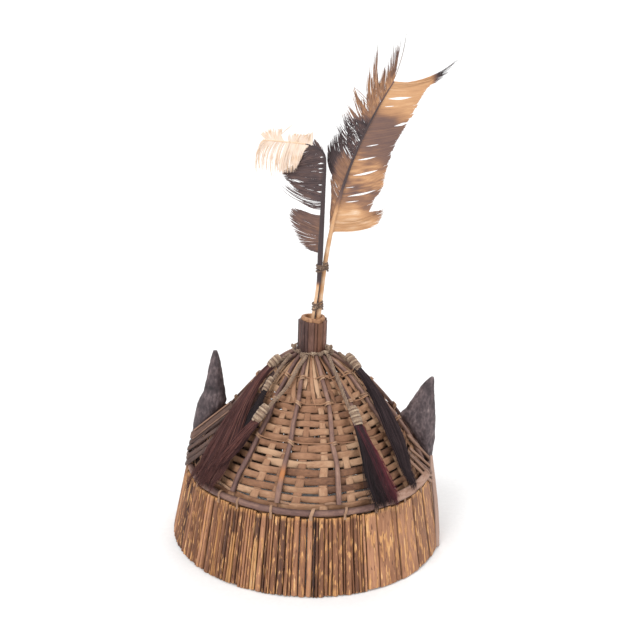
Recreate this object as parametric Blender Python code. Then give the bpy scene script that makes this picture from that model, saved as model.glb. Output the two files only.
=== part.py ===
# Feathered warrior hat: a woven dome on a brim of upright reeds, with two lashed side horns,
# five hair tassels and two feathers standing in a bamboo tube. The front looks along -Y.
# The origin is on the floor at the middle of the brim's foot.
import math
import random

import bmesh
import bpy
from mathutils import Vector

# Clearance between pieces that touch
SEAT_GAP = 0.0003

# Brim of upright reeds
BRIM_FOOT_RADIUS = 0.1200
BRIM_TOP_RADIUS = 0.1074
BRIM_HEIGHT = 0.0640
SLAT_THICKNESS = 0.0040
SLAT_WIDTH = 0.0060
BROAD_SLAT_WIDTH = 0.0120
BROAD_SLATS_FROM = -56.0
BROAD_SLATS_TO = -10.0
SLAT_GROOVE = 0.0014
SLAT_SHORTFALL = 0.0018

# Basket crown
CROWN_RISE = 0.1005
CROWN_WALL = 0.0025
CROWN_TUCK = 0.0120
CROWN_LEAN = 0.0030
CROWN_SIDES = 40

# Canes laid over the crown
HOOP_THICKNESS = 0.0052
RIB_WIDTH = 0.0045
RIB_THICKNESS = 0.0032
FRONT_RIBS = (-126.5, -103.5, -76.0, -54.0, -32.0)
HIDDEN_RIBS = 10
RING_WIDTH = 0.0020
RING_THICKNESS = 0.0010
RINGS = (("upper", 0.87), ("middle", 0.71), ("lower", 0.46))

# Plume tube and its canes
TUBE_RADIUS = 0.0102
TUBE_BORE_RADIUS = 0.0070
TUBE_RISE = 0.0328
TUBE_DEPTH = 0.0100
CANE_THICKNESS = 0.0019
CANE_RISE = 0.0290
CANE_COUNT = 16
NECK_CORD_THICKNESS = 0.0026

# Feathers
QUILL_RADIUS = 0.0022
DARK_QUILL_RADIUS = 0.0018
QUILL_DEPTH = 0.0380
VANE_THICKNESS = 0.0012
VANE_CAMBER = 0.15
BANDED_RISE = 0.1950
BANDED_LEAN = 0.0140
BANDED_SWEEP = 0.0396
BANDED_REACH = 0.0400
DARK_RISE = 0.1460
DARK_REACH = 0.0400
FEATHER_PARTING = 0.0030
TIE_THICKNESS = 0.0014
TIE_HEIGHT = 0.0052
TIE_ROOM = 0.0001
TIES = (("lower", 0.0100), ("upper", 0.0450))

# Horns and their lashings
HORN_WIDTH = 0.0360
HORN_DEPTH = 0.0190
LEFT_HORN_RISE = 0.0932
RIGHT_HORN_RISE = 0.0761
LASHING_WIDTH = 0.0038
LASHING_THICKNESS = 0.0014
LASHING_PITCH = 0.0051
LASHING_ROOM = 0.0006
LASHING_COUNT = 5

# Tassels
STEM_RADIUS = 0.0015
WRAP_RADIUS = 0.0038
HAIR_THICKNESS = 0.0060
HAIR_WIDTH = 0.0200
LOCK_STEP = 0.0030

# The crown's outline from the brim's top: share of its rise, share of its foot radius
CROWN_ROWS = (
    (0.000, 1.000),
    (0.119, 0.941),
    (0.289, 0.829),
    (0.468, 0.694),
    (0.632, 0.558),
    (0.771, 0.432),
    (0.886, 0.306),
    (0.965, 0.194),
)

# The banded feather: share of its rise, right barb's reach and angle, left barb's reach and angle
BANDED_ROWS = (
    (0.355, 0.08, 40, 0.08, 130),
    (0.375, 1.02, 9, 0.08, 130),
    (0.420, 1.11, 14, 0.18, 129),
    (0.450, 0.72, 6, 0.20, 135),
    (0.480, 0.75, 8, 0.26, 140),
    (0.530, 0.89, 4, 0.38, 136),
    (0.580, 0.83, 11, 0.43, 137),
    (0.640, 0.82, 12, 0.68, 137),
    (0.700, 0.76, 9, 0.58, 125),
    (0.770, 0.74, 10, 0.62, 128),
    (0.800, 0.73, 9, 0.87, 111),
    (0.840, 0.73, 8, 0.45, 105),
    (0.870, 0.73, 6, 0.79, 101),
    (0.900, 0.74, 5, 0.38, 95),
    (0.920, 0.75, 5, 0.94, 102),
    (0.950, 0.77, 5, 0.30, 85),
    (0.980, 0.78, 6, 1.00, 82),
    (1.000, 1.10, 13, 0.25, 75),
)

# The dark feather: its shaft's side and rise as shares of its rise, then left barb and right barb
DARK_ROWS = (
    (0.000, 0.000, 0.00, 180, 0.00, 0),
    (0.020, 0.220, 0.00, 180, 0.00, 0),
    (0.024, 0.308, 0.00, 180, 0.00, 0),
    (0.027, 0.375, 0.00, 180, 0.00, 0),
    (0.028, 0.386, 0.13, 170, 0.00, 0),
    (0.029, 0.412, 0.57, 153, 0.00, 0),
    (0.030, 0.466, 0.74, 154, 0.00, 0),
    (0.031, 0.534, 0.71, 151, 0.00, 0),
    (0.032, 0.555, 0.38, 158, 0.00, 0),
    (0.033, 0.565, 0.08, 160, 0.00, 0),
    (0.033, 0.616, 0.08, 160, 0.00, 0),
    (0.034, 0.630, 0.42, 164, 0.00, 0),
    (0.037, 0.671, 0.97, 163, 0.00, 0),
    (0.038, 0.733, 0.75, 165, 0.00, 0),
    (0.039, 0.774, 0.91, 169, 0.00, 0),
    (0.038, 0.836, 0.60, 166, 0.00, 0),
    (0.032, 0.897, 0.53, 166, 0.00, 0),
    (0.018, 0.942, 0.42, 166, 0.00, 20),
    (-0.004, 0.973, 0.08, 200, 0.08, 50),
    (-0.040, 0.988, 0.08, 240, 0.20, 80),
    (-0.080, 0.994, 0.40, 252, 0.20, 105),
    (-0.135, 0.996, 0.66, 247, 0.25, 112),
    (-0.210, 0.998, 0.72, 246, 0.29, 110),
    (-0.275, 0.998, 0.74, 250, 0.22, 120),
)

# Horn outlines: share of the way from the hoop to the tip, then the outer and inner edges'
# distance in from the hoop as shares of the horn's width, and the share of the horn's depth
LEFT_HORN_ROWS = (
    (0.00, 0.00, 0.10, 0.70),
    (0.10, 0.06, 0.25, 0.85),
    (0.28, 0.12, 0.55, 1.00),
    (0.44, 0.19, 0.80, 1.00),
    (0.50, 0.25, 0.96, 1.00),
    (0.61, 0.38, 0.91, 0.92),
    (0.75, 0.46, 0.85, 0.78),
    (0.88, 0.51, 0.79, 0.56),
    (0.95, 0.58, 0.73, 0.36),
    (1.00, 0.64, 0.68, 0.10),
)
RIGHT_HORN_ROWS = (
    (0.00, -0.06, 0.10, 0.70),
    (0.24, -0.12, 0.35, 0.90),
    (0.45, -0.11, 0.60, 1.00),
    (0.53, -0.10, 0.76, 1.00),
    (0.60, -0.08, 0.61, 0.94),
    (0.76, -0.04, 0.44, 0.78),
    (0.86, -0.01, 0.35, 0.60),
    (0.94, 0.01, 0.22, 0.36),
    (1.00, 0.02, 0.07, 0.10),
)

# Tassels: where each one's path lies as azimuth and share of the crown's rise, the shares of
# the path where its stem and its wrap end, the hair's width at its foot, and its layer
TASSELS = (
    ("tassel_1", "red", ((-153, 0.970), (-153, 0.860), (-151, 0.750), (-149, 0.650),
                         (-147.5, 0.520), (-146.5, 0.390), (-146, 0.260), (-146.5, 0.140)),
     0.06, 0.15, 1.00, 0),
    ("tassel_2", "black", ((-144, 0.970), (-140.5, 0.860), (-138.5, 0.790), (-136.5, 0.670),
                           (-135, 0.540), (-134, 0.430)),
     0.26, 0.42, 0.34, 0),
    ("tassel_3", "red", ((-104, 0.960), (-114.5, 0.920), (-118.8, 0.835), (-122.6, 0.755),
                         (-126.4, 0.690), (-128.6, 0.600), (-129.6, 0.520), (-131.2, 0.450),
                         (-133, 0.350), (-135.6, 0.250)),
     0.46, 0.60, 0.42, 1),
    ("tassel_4", "burgundy", ((-43, 0.965), (-51.3, 0.920), (-54.6, 0.820), (-55.2, 0.740),
                              (-54.6, 0.610), (-56, 0.530), (-55.8, 0.380), (-54.7, 0.220),
                              (-53.7, 0.090)),
     0.33, 0.46, 1.02, 0),
    ("tassel_5", "black", ((-2, 0.965), (-17.5, 0.890), (-22, 0.800), (-25, 0.700),
                           (-25.8, 0.560), (-27, 0.445), (-28.7, 0.315), (-30.5, 0.190),
                           (-31.6, 0.095)),
     0.05, 0.20, 0.60, 0),
)

# Finishes: colour, roughness, metallic
FINISHES = {
    "woven_cane": ((0.38, 0.21, 0.115), 0.70, 0.0),
    "dark_cane": ((0.17, 0.095, 0.065), 0.65, 0.0),
    "reed": ((0.33, 0.17, 0.075), 0.62, 0.0),
    "bamboo": ((0.42, 0.24, 0.12), 0.60, 0.0),
    "twine": ((0.45, 0.33, 0.22), 0.90, 0.0),
    "horn": ((0.075, 0.052, 0.045), 0.60, 0.0),
    "cane_strip": ((0.105, 0.060, 0.045), 0.65, 0.0),
    "red_hair": ((0.10, 0.035, 0.030), 0.55, 0.0),
    "black_hair": ((0.030, 0.022, 0.022), 0.50, 0.0),
    "burgundy_hair": ((0.075, 0.020, 0.024), 0.52, 0.0),
    "banded_feather": ((0.36, 0.19, 0.10), 0.60, 0.0),
    "dark_feather": ((0.045, 0.030, 0.032), 0.55, 0.0),
}

# Heights above the crown's skin at which layers lie
OVER_RIBS = SEAT_GAP + RIB_THICKNESS + SEAT_GAP
OVER_RINGS = OVER_RIBS + RING_THICKNESS + SEAT_GAP
# Spare room under a stiff piece whose straight steps cross the crown's curve
CHORD_ROOM = 0.0003

# Radii that follow from the sizes above
CROWN_FOOT_RADIUS = BRIM_TOP_RADIUS - SLAT_THICKNESS - SEAT_GAP
CROWN_NECK_RADIUS = TUBE_RADIUS + SEAT_GAP + CROWN_WALL
CANE_OUTER_RADIUS = TUBE_RADIUS + SEAT_GAP + CANE_THICKNESS
TUBE_MOUTH = BRIM_HEIGHT + CROWN_RISE + TUBE_RISE


# Start from an empty file
for item in list(bpy.data.objects):
    bpy.data.objects.remove(item, do_unlink=True)


def finish(name):
    """The Principled material of one finish, made once."""
    if name in bpy.data.materials:
        return bpy.data.materials[name]
    colour, roughness, metallic = FINISHES[name]
    material = bpy.data.materials.new(name)
    material.use_nodes = True
    shader = material.node_tree.nodes["Principled BSDF"]
    shader.inputs["Base Color"].default_value = (*colour, 1.0)
    shader.inputs["Roughness"].default_value = roughness
    shader.inputs["Metallic"].default_value = metallic
    return material


def place(name, shape, finish_name):
    """Turn a closed bmesh into a named object with its finish."""
    bmesh.ops.recalc_face_normals(shape, faces=shape.faces)
    mesh = bpy.data.meshes.new(name)
    shape.to_mesh(mesh)
    shape.free()
    mesh.shade_smooth()
    mesh.set_sharp_from_angle(angle=math.radians(35))
    mesh.materials.append(finish(finish_name))
    piece = bpy.data.objects.new(name, mesh)
    bpy.context.scene.collection.objects.link(piece)
    return piece


def loft(name, rings, finish_name, endless=False):
    """Skin equal rings of points; an endless loft joins its last ring to its first."""
    shape = bmesh.new()
    rows = [[shape.verts.new(point) for point in ring] for ring in rings]
    following = rows[1:] + rows[:1] if endless else rows[1:]
    for low, high in zip(rows, following):
        for index in range(len(low)):
            after = (index + 1) % len(low)
            shape.faces.new((low[index], low[after], high[after], high[index]))
    if not endless:
        shape.faces.new(list(reversed(rows[0])))
        shape.faces.new(rows[-1])
    return place(name, shape, finish_name)


def blend(low, high, share):
    return low + (high - low) * share


def read_rows(rows, where):
    """Values of a table at a place between its rows, the first column being the place."""
    where = min(max(where, rows[0][0]), rows[-1][0])
    for low, high in zip(rows, rows[1:]):
        if where <= high[0]:
            share = (where - low[0]) / (high[0] - low[0])
            return [blend(a, b, share) for a, b in zip(low[1:], high[1:])]
    return list(rows[-1][1:])


def polar(radius, azimuth, height):
    turn = math.radians(azimuth)
    return Vector((radius * math.cos(turn), radius * math.sin(turn), height))


def brim_radius(height):
    """Outer radius of the brim's cone at a height above the floor."""
    return blend(BRIM_FOOT_RADIUS, BRIM_TOP_RADIUS, height / BRIM_HEIGHT)


# The crown's outline in metres: height above the brim's top, outer radius
CROWN_OUTLINE = [(-CROWN_TUCK, brim_radius(BRIM_HEIGHT - CROWN_TUCK) - SLAT_THICKNESS - SEAT_GAP)]
CROWN_OUTLINE += [(rise * CROWN_RISE, share * CROWN_FOOT_RADIUS) for rise, share in CROWN_ROWS]
CROWN_OUTLINE += [(CROWN_RISE, CROWN_NECK_RADIUS)]


def crown_lean(height):
    """The dome bulges a little to the right between its foot and its neck."""
    share = min(max(height / CROWN_RISE, 0.0), 1.0)
    return Vector((CROWN_LEAN * math.sin(math.pi * share), 0.0, 0.0))


def crown_slope(height):
    """Outward direction of the skin, as its radial and upward shares."""
    step = 0.02 * CROWN_RISE
    low, high = height - step, height + step
    fall = read_rows(CROWN_OUTLINE, high)[0] - read_rows(CROWN_OUTLINE, low)[0]
    run = min(high, CROWN_OUTLINE[-1][0]) - max(low, CROWN_OUTLINE[0][0])
    length = math.hypot(fall, run)
    return run / length, -fall / length


def crown_point(azimuth, height, lift=0.0):
    """Point at a lift above the crown's outer skin; height is above the brim's top."""
    radius = read_rows(CROWN_OUTLINE, height)[0]
    outward, upward = crown_slope(height)
    point = polar(radius + lift * outward, azimuth, BRIM_HEIGHT + height + lift * upward)
    return point + crown_lean(height)


def crown_normal(azimuth, height):
    outward, upward = crown_slope(height)
    return polar(outward, azimuth, upward).normalized()


def slat_edges():
    """Azimuths at which one slat ends and the next begins, all round."""
    chance = random.Random(7)
    edges = [-180.0]
    while edges[-1] < 180.0:
        broad = BROAD_SLATS_FROM <= edges[-1] < BROAD_SLATS_TO
        width = (BROAD_SLAT_WIDTH if broad else SLAT_WIDTH) * chance.uniform(0.82, 1.18)
        edges.append(edges[-1] + math.degrees(width / BRIM_FOOT_RADIUS))
    stretch = 360.0 / (edges[-1] + 180.0)
    return [-180.0 + (edge + 180.0) * stretch for edge in edges[:-1]]


def make_brim():
    """Upright split reeds set edge to edge, fused into one fluted ring."""
    chance = random.Random(11)
    edges = slat_edges()
    shape = bmesh.new()

    def pair(inset, azimuth, top):
        """Foot and top corners on one upright line."""
        foot = polar(BRIM_FOOT_RADIUS - inset, azimuth, 0.0)
        head = polar(brim_radius(top) - inset, azimuth, top)
        return shape.verts.new(foot), shape.verts.new(head)

    lowest = BRIM_HEIGHT - SLAT_SHORTFALL
    grooves = [pair(SLAT_GROOVE, edge, lowest) for edge in edges]
    backs = [pair(SLAT_THICKNESS, edge, BRIM_HEIGHT) for edge in edges]
    for index, edge in enumerate(edges):
        after = (index + 1) % len(edges)
        span = (edges[after] - edge) % 360.0
        top = chance.uniform(lowest, BRIM_HEIGHT)
        worn = chance.uniform(0.0, 0.35) * SLAT_GROOVE
        near = pair(worn, edge + 0.16 * span, top)
        far = pair(worn, edge + 0.84 * span, top)
        wall = (grooves[index], near, far, grooves[after])
        for one, other in zip(wall, wall[1:]):
            shape.faces.new((one[0], other[0], other[1], one[1]))
        shape.faces.new((backs[after][0], backs[index][0], backs[index][1], backs[after][1]))
        for level in (0, 1):
            rim = [corner[level] for corner in wall]
            shape.faces.new(rim + [backs[after][level], backs[index][level]])
    place("brim_slats", shape, "reed")


def make_crown():
    """The woven dome: a thin skin open at the foot and at the neck, where the tube goes in."""
    wall = []
    for step in range(CROWN_SIDES):
        azimuth = 360.0 * step / CROWN_SIDES
        outer = [crown_point(azimuth, height) for height, _ in CROWN_OUTLINE]
        inner = [crown_point(azimuth, height, -CROWN_WALL) for height, _ in CROWN_OUTLINE[1:-1]]
        mouth = polar(TUBE_RADIUS + SEAT_GAP, azimuth, BRIM_HEIGHT + CROWN_RISE)
        foot = outer[0] - polar(CROWN_WALL, azimuth, 0.0)
        wall.append(outer + [mouth] + inner[::-1] + [foot])
    loft("crown_basket", wall, "woven_cane", endless=True)


def round_hoop(name, centre, radius, azimuths, sides, finish_name):
    """A closed cane of round section whose centre line is given by azimuth."""
    rings = []
    for azimuth in azimuths:
        middle = centre(azimuth)
        outward = polar(1.0, azimuth, 0.0)
        ring = []
        for step in range(sides):
            turn = 2.0 * math.pi * (step + 0.5) / sides
            ring.append(middle + outward * radius * math.cos(turn)
                        + Vector((0.0, 0.0, radius * math.sin(turn))))
        rings.append(ring)
    loft(name, rings, finish_name, endless=True)


def make_hoop():
    """The cane that lies on the slats' tops, against the crown."""
    radius = HOOP_THICKNESS / 2
    height = SEAT_GAP + radius
    outward, upward = crown_slope(height)
    lift = radius + SEAT_GAP
    foot = height - lift * upward
    reach = read_rows(CROWN_OUTLINE, foot)[0] + lift * outward + CROWN_LEAN * 0.15
    azimuths = [360.0 * step / 48 for step in range(48)]
    round_hoop("rim_hoop", lambda azimuth: polar(reach, azimuth, BRIM_HEIGHT + height),
               radius, azimuths, 6, "dark_cane")


HOOP_TOP = SEAT_GAP + HOOP_THICKNESS
HOOP_REACH = CROWN_FOOT_RADIUS + HOOP_THICKNESS * 0.8


def rib_azimuths():
    """The ribs seen in front, and the rest spaced evenly round the back."""
    step = (360.0 + FRONT_RIBS[0] - FRONT_RIBS[-1]) / (HIDDEN_RIBS + 1)
    return list(FRONT_RIBS) + [FRONT_RIBS[-1] + step * (turn + 1) for turn in range(HIDDEN_RIBS)]


def make_ribs():
    """Round splints laid down the weave from the neck to the hoop."""
    low = HOOP_TOP + SEAT_GAP + RIB_THICKNESS / 2
    high = 0.980 * CROWN_RISE
    heights = [low] + [h for h, _ in CROWN_OUTLINE[1:-1] if low < h < high] + [high]
    for number, azimuth in enumerate(rib_azimuths()):
        across = polar(1.0, azimuth + 90.0, 0.0)
        rings = []
        for height in heights:
            half = RIB_WIDTH / 2 * blend(1.0, 0.72, height / CROWN_RISE)
            corners = ((-0.72, 0.0), (-1.0, 0.45), (-0.5, 1.0), (0.5, 1.0), (1.0, 0.45), (0.72, 0.0))
            rings.append([crown_point(azimuth, height, SEAT_GAP + up * RIB_THICKNESS)
                          + across * side * half for side, up in corners])
        loft(f"crown_rib_{number:02d}", rings, "dark_cane")


def make_rings():
    """Thin canes pulled tight over the ribs, straight from one rib to the next."""
    for name, share in RINGS:
        height = share * CROWN_RISE
        reach = read_rows(CROWN_OUTLINE, height)[0]
        half_turn = math.degrees(RIB_WIDTH / 2 / reach)
        azimuths = sorted(azimuth + side * half_turn
                          for azimuth in rib_azimuths() for side in (-1, 1))
        rings = []
        for azimuth in azimuths:
            ring = []
            for up, over in ((-0.5, 0.0), (0.5, 0.0), (0.5, 1.0), (-0.5, 1.0)):
                point = crown_point(azimuth, height, OVER_RIBS + over * RING_THICKNESS)
                outward, upward = crown_slope(height)
                along = polar(-upward, azimuth, outward)
                ring.append(point + along * up * RING_WIDTH)
            rings.append(ring)
        loft(f"binding_ring_{name}", rings, "dark_cane", endless=True)


def make_tube():
    """The bamboo tube that the feathers stand in, pushed down through the crown's neck."""
    low = BRIM_HEIGHT + CROWN_RISE - TUBE_DEPTH
    wall = []
    for step in range(24):
        azimuth = 15.0 * step
        wall.append([polar(TUBE_RADIUS, azimuth, low), polar(TUBE_RADIUS, azimuth, TUBE_MOUTH),
                     polar(TUBE_BORE_RADIUS, azimuth, TUBE_MOUTH),
                     polar(TUBE_BORE_RADIUS, azimuth, low)])
    loft("plume_tube", wall, "bamboo", endless=True)


def make_tube_canes():
    """A jacket of short canes round the tube, standing on the crown's neck."""
    chance = random.Random(5)
    low = BRIM_HEIGHT + CROWN_RISE + SEAT_GAP
    bore = (TUBE_RADIUS + SEAT_GAP) / math.cos(math.pi / (3 * CANE_COUNT))
    wall = []
    for cane in range(CANE_COUNT):
        top = low + CANE_RISE * chance.uniform(0.94, 1.0)
        for place_in_cane, swell in ((0.0, 0.45), (0.3, 1.0), (0.7, 1.0)):
            azimuth = 360.0 * (cane + place_in_cane) / CANE_COUNT
            outer = TUBE_RADIUS + SEAT_GAP + CANE_THICKNESS * swell
            wall.append([polar(outer, azimuth, low), polar(outer - 0.3 * CANE_THICKNESS, azimuth, top),
                         polar(bore, azimuth, top), polar(bore, azimuth, low)])
    loft("tube_canes", wall, "dark_cane", endless=True)


def make_neck_cord():
    """The cord wound round the foot of the canes, lying on the crown."""
    radius = NECK_CORD_THICKNESS / 2
    reach = CANE_OUTER_RADIUS + SEAT_GAP + radius
    (low, wide), (high, narrow) = CROWN_OUTLINE[-2:]
    outward, upward = crown_slope((low + high) / 2)
    lift = radius + SEAT_GAP
    foot = blend(low, high, (wide - (reach - lift * outward)) / (wide - narrow))
    height = BRIM_HEIGHT + foot + lift * upward + CHORD_ROOM
    azimuths = [15.0 * step for step in range(24)]
    round_hoop("neck_cord", lambda azimuth: polar(reach / math.cos(math.pi / 24), azimuth, height),
               radius, azimuths, 6, "twine")


# Where the quills stand in the tube's bore: the banded one against the wall, the dark one beside it
BANDED_FOOT = polar((TUBE_BORE_RADIUS - QUILL_RADIUS - SEAT_GAP) * 0.99, 10.0, TUBE_MOUTH)
DARK_FOOT = BANDED_FOOT - polar(QUILL_RADIUS + DARK_QUILL_RADIUS + 1.3 * SEAT_GAP, 20.0, 0.0)


def banded_shaft(share):
    """The banded feather's shaft: upright in the tube, then swept to the right."""
    above = max(share, 0.0)
    return BANDED_FOOT + Vector((BANDED_LEAN * above + BANDED_SWEEP * above ** 2.65,
                                 0.35 * FEATHER_PARTING * min(above * 5.0, 1.0),
                                 BANDED_RISE * share))


def dark_shaft(side, rise):
    """The dark feather's shaft, which stands a little in front of the banded one."""
    return DARK_FOOT + Vector((DARK_RISE * side,
                               -0.65 * FEATHER_PARTING * min(max(rise, 0.0) * 4.0, 1.0),
                               DARK_RISE * rise))


def feather_ring(root, radius, right, left):
    """One section through shaft and vane; right and left are a barb's reach and angle."""
    half = VANE_THICKNESS / 2

    def barb(reach, angle):
        turn = math.radians(angle)
        direction = Vector((math.cos(turn), VANE_CAMBER, math.sin(turn))).normalized()
        bare = reach < radius
        thick = radius * 0.75 if bare else min(half, radius)
        return (root + direction * radius * 0.7, thick,
                root + direction * max(reach, radius), radius * 0.35 if bare else half)

    right_root, right_thick, right_tip, right_edge = barb(*right)
    left_root, left_thick, left_tip, left_edge = barb(*left)
    front = [(left_tip, left_edge), (left_root, left_thick), (root, radius),
             (right_root, right_thick), (right_tip, right_edge)]
    deep = Vector((0.0, 1.0, 0.0))
    return ([point - deep * thick for point, thick in front]
            + [point + deep * thick for point, thick in reversed(front)])


def make_banded_feather():
    """Tan and brown feather: a whole right vane and a torn left one."""
    rings = []
    for share in (-QUILL_DEPTH / BANDED_RISE, 0.0, 0.12, 0.24, 0.33):
        radius = QUILL_RADIUS * blend(1.0, 0.75, max(share, 0.0))
        rings.append(feather_ring(banded_shaft(share), radius, (0.0, 0.0), (0.0, 180.0)))
    for share, right, right_angle, left, left_angle in BANDED_ROWS:
        radius = QUILL_RADIUS * blend(1.0, 0.36, share)
        rings.append(feather_ring(banded_shaft(share), radius, (right * BANDED_REACH, right_angle),
                                  (left * BANDED_REACH, left_angle)))
    tip = banded_shaft(1.02)
    rings.append(feather_ring(tip, QUILL_RADIUS * 0.3, (0.0, 40.0), (0.0, 100.0)))
    loft("feather_banded", rings, "banded_feather")


def make_dark_feather():
    """Dark feather: one left vane, a lower tuft, and a tip that is broken over to the left."""
    rings = [feather_ring(dark_shaft(0.0, -QUILL_DEPTH / DARK_RISE), DARK_QUILL_RADIUS,
                          (0.0, 0.0), (0.0, 180.0))]
    for side, rise, left, left_angle, right, right_angle in DARK_ROWS:
        radius = DARK_QUILL_RADIUS * blend(1.0, 0.45, rise)
        rings.append(feather_ring(dark_shaft(side, rise), radius,
                                  (right * DARK_REACH, right_angle),
                                  (left * DARK_REACH, left_angle)))
    loft("feather_dark", rings, "dark_feather")


def quill_pair_edge(azimuth, height):
    """Point on the oval that encloses both quills at a height above the tube's mouth."""
    rise = height / DARK_RISE
    side = read_rows([(row[1], row[0]) for row in DARK_ROWS], rise)[0]
    outward = polar(1.0, azimuth, 0.0)
    room = TIE_ROOM + SEAT_GAP
    quills = ((banded_shaft(height / BANDED_RISE), QUILL_RADIUS + room),
              (dark_shaft(side, rise), DARK_QUILL_RADIUS + room))
    middle, radius = max(quills, key=lambda quill: quill[0].dot(outward) + quill[1])
    return middle + outward * radius


def make_feather_ties():
    """Flat windings of twine that hold the two quills together."""
    for name, height in TIES:
        rings = []
        for step in range(16):
            azimuth = 22.5 * step
            ring = []
            for over, up in ((0.0, -0.5), (1.0, -0.5), (1.0, 0.5), (0.0, 0.5)):
                near = quill_pair_edge(azimuth, height + up * TIE_HEIGHT)
                ring.append(near + polar(over * TIE_THICKNESS, azimuth, 0.0))
            rings.append(ring)
        loft(f"feather_tie_{name}", rings, "twine", endless=True)


def flank(azimuth, height):
    """Distance from the axis, at one height, of a piece that lies on the rings there."""
    lift = OVER_RINGS + CHORD_ROOM
    foot = height
    for _ in range(4):
        foot = height - lift * crown_slope(foot)[1]
    return abs(crown_point(azimuth, foot, lift).x)


# The horns stand on the hoop, and their sides are the facets that the lashings follow
HORN_FOOT = HOOP_TOP + SEAT_GAP
HORN_FACET = 30.0


def horn_skin(azimuth, rise, rows, share, turn):
    """Point on a horn's skin at a share of the way to its tip; turn 0 is its outer edge."""
    outer_inset, inner_inset, depth = read_rows(rows, share)
    height = HORN_FOOT + share * rise
    outer = HOOP_REACH - outer_inset * HORN_WIDTH
    inner = max(HOOP_REACH - inner_inset * HORN_WIDTH, flank(azimuth, height))
    inner = min(inner, outer - 0.04 * HORN_WIDTH)
    around = math.radians(turn)
    facing = 1.0 if azimuth == 0.0 else -1.0
    across = blend(inner, outer, (1.0 + math.cos(around)) / 2)
    return Vector((facing * across, depth * HORN_DEPTH / 2 * math.sin(around),
                   BRIM_HEIGHT + height))


def horn_normal(azimuth, rise, rows, share, turn):
    """Outward direction of a horn's skin, taken over the width of a lashing."""
    step = LASHING_WIDTH / 2 / rise
    round_it = (horn_skin(azimuth, rise, rows, share, turn + 6)
                - horn_skin(azimuth, rise, rows, share, turn - 6))
    up_it = (horn_skin(azimuth, rise, rows, share + step, turn)
             - horn_skin(azimuth, rise, rows, share - step, turn))
    normal = round_it.cross(up_it).normalized()
    return normal if azimuth == 0.0 else -normal


def make_horn(side, azimuth, rise, rows):
    """A flattened horn that stands on the hoop with its inner edge against the crown's rings."""
    rings = []
    for row in rows:
        rings.append([horn_skin(azimuth, rise, rows, row[0], HORN_FACET * step)
                      for step in range(round(360 / HORN_FACET))])
    loft(f"horn_{side}", rings, "horn")


def make_lashings(side, azimuth, rise, rows):
    """Flat cane strips that cross the horn's base aslant and end on the crown at both sides."""
    half = LASHING_THICKNESS / 2
    facing = 1.0 if azimuth == 0.0 else -1.0
    first = HORN_FOOT + 2.6 * LASHING_WIDTH
    for number in range(LASHING_COUNT):
        outer_height = first + number * LASHING_PITCH
        slant = (1.3 + 0.55 * number) * LASHING_WIDTH
        path = []
        normals = []
        for facet in range(-4, 5):
            turn = facet * HORN_FACET
            height = outer_height + slant * (1.0 - math.cos(math.radians(turn))) / 2
            share = (height - HORN_FOOT) / rise
            normal = horn_normal(azimuth, rise, rows, share, turn)
            path.append(horn_skin(azimuth, rise, rows, share, turn)
                        + normal * (SEAT_GAP + LASHING_ROOM + half))
            normals.append(normal)
        end_height = outer_height + 0.9 * slant
        reach = read_rows(CROWN_OUTLINE, end_height)[0]
        swing = math.degrees(math.asin(0.92 * HORN_DEPTH / reach))
        for which in (-1, 1):
            where = azimuth + which * facing * swing
            point = crown_point(where, end_height, OVER_RINGS + CHORD_ROOM + half)
            spot = 0 if which < 0 else len(path)
            path.insert(spot, point)
            normals.insert(spot, crown_normal(where, end_height))
        rings = []
        for index, point in enumerate(path):
            before = path[max(index - 1, 0)]
            after = path[min(index + 1, len(path) - 1)]
            along = (after - before).normalized()
            across = along.cross(normals[index]).normalized() * LASHING_WIDTH / 2
            over = across.cross(along).normalized() * half
            rings.append([point - across - over, point + across - over,
                          point + across + over, point - across + over])
        loft(f"horn_lashing_{side}_{number}", rings, "cane_strip")


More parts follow.
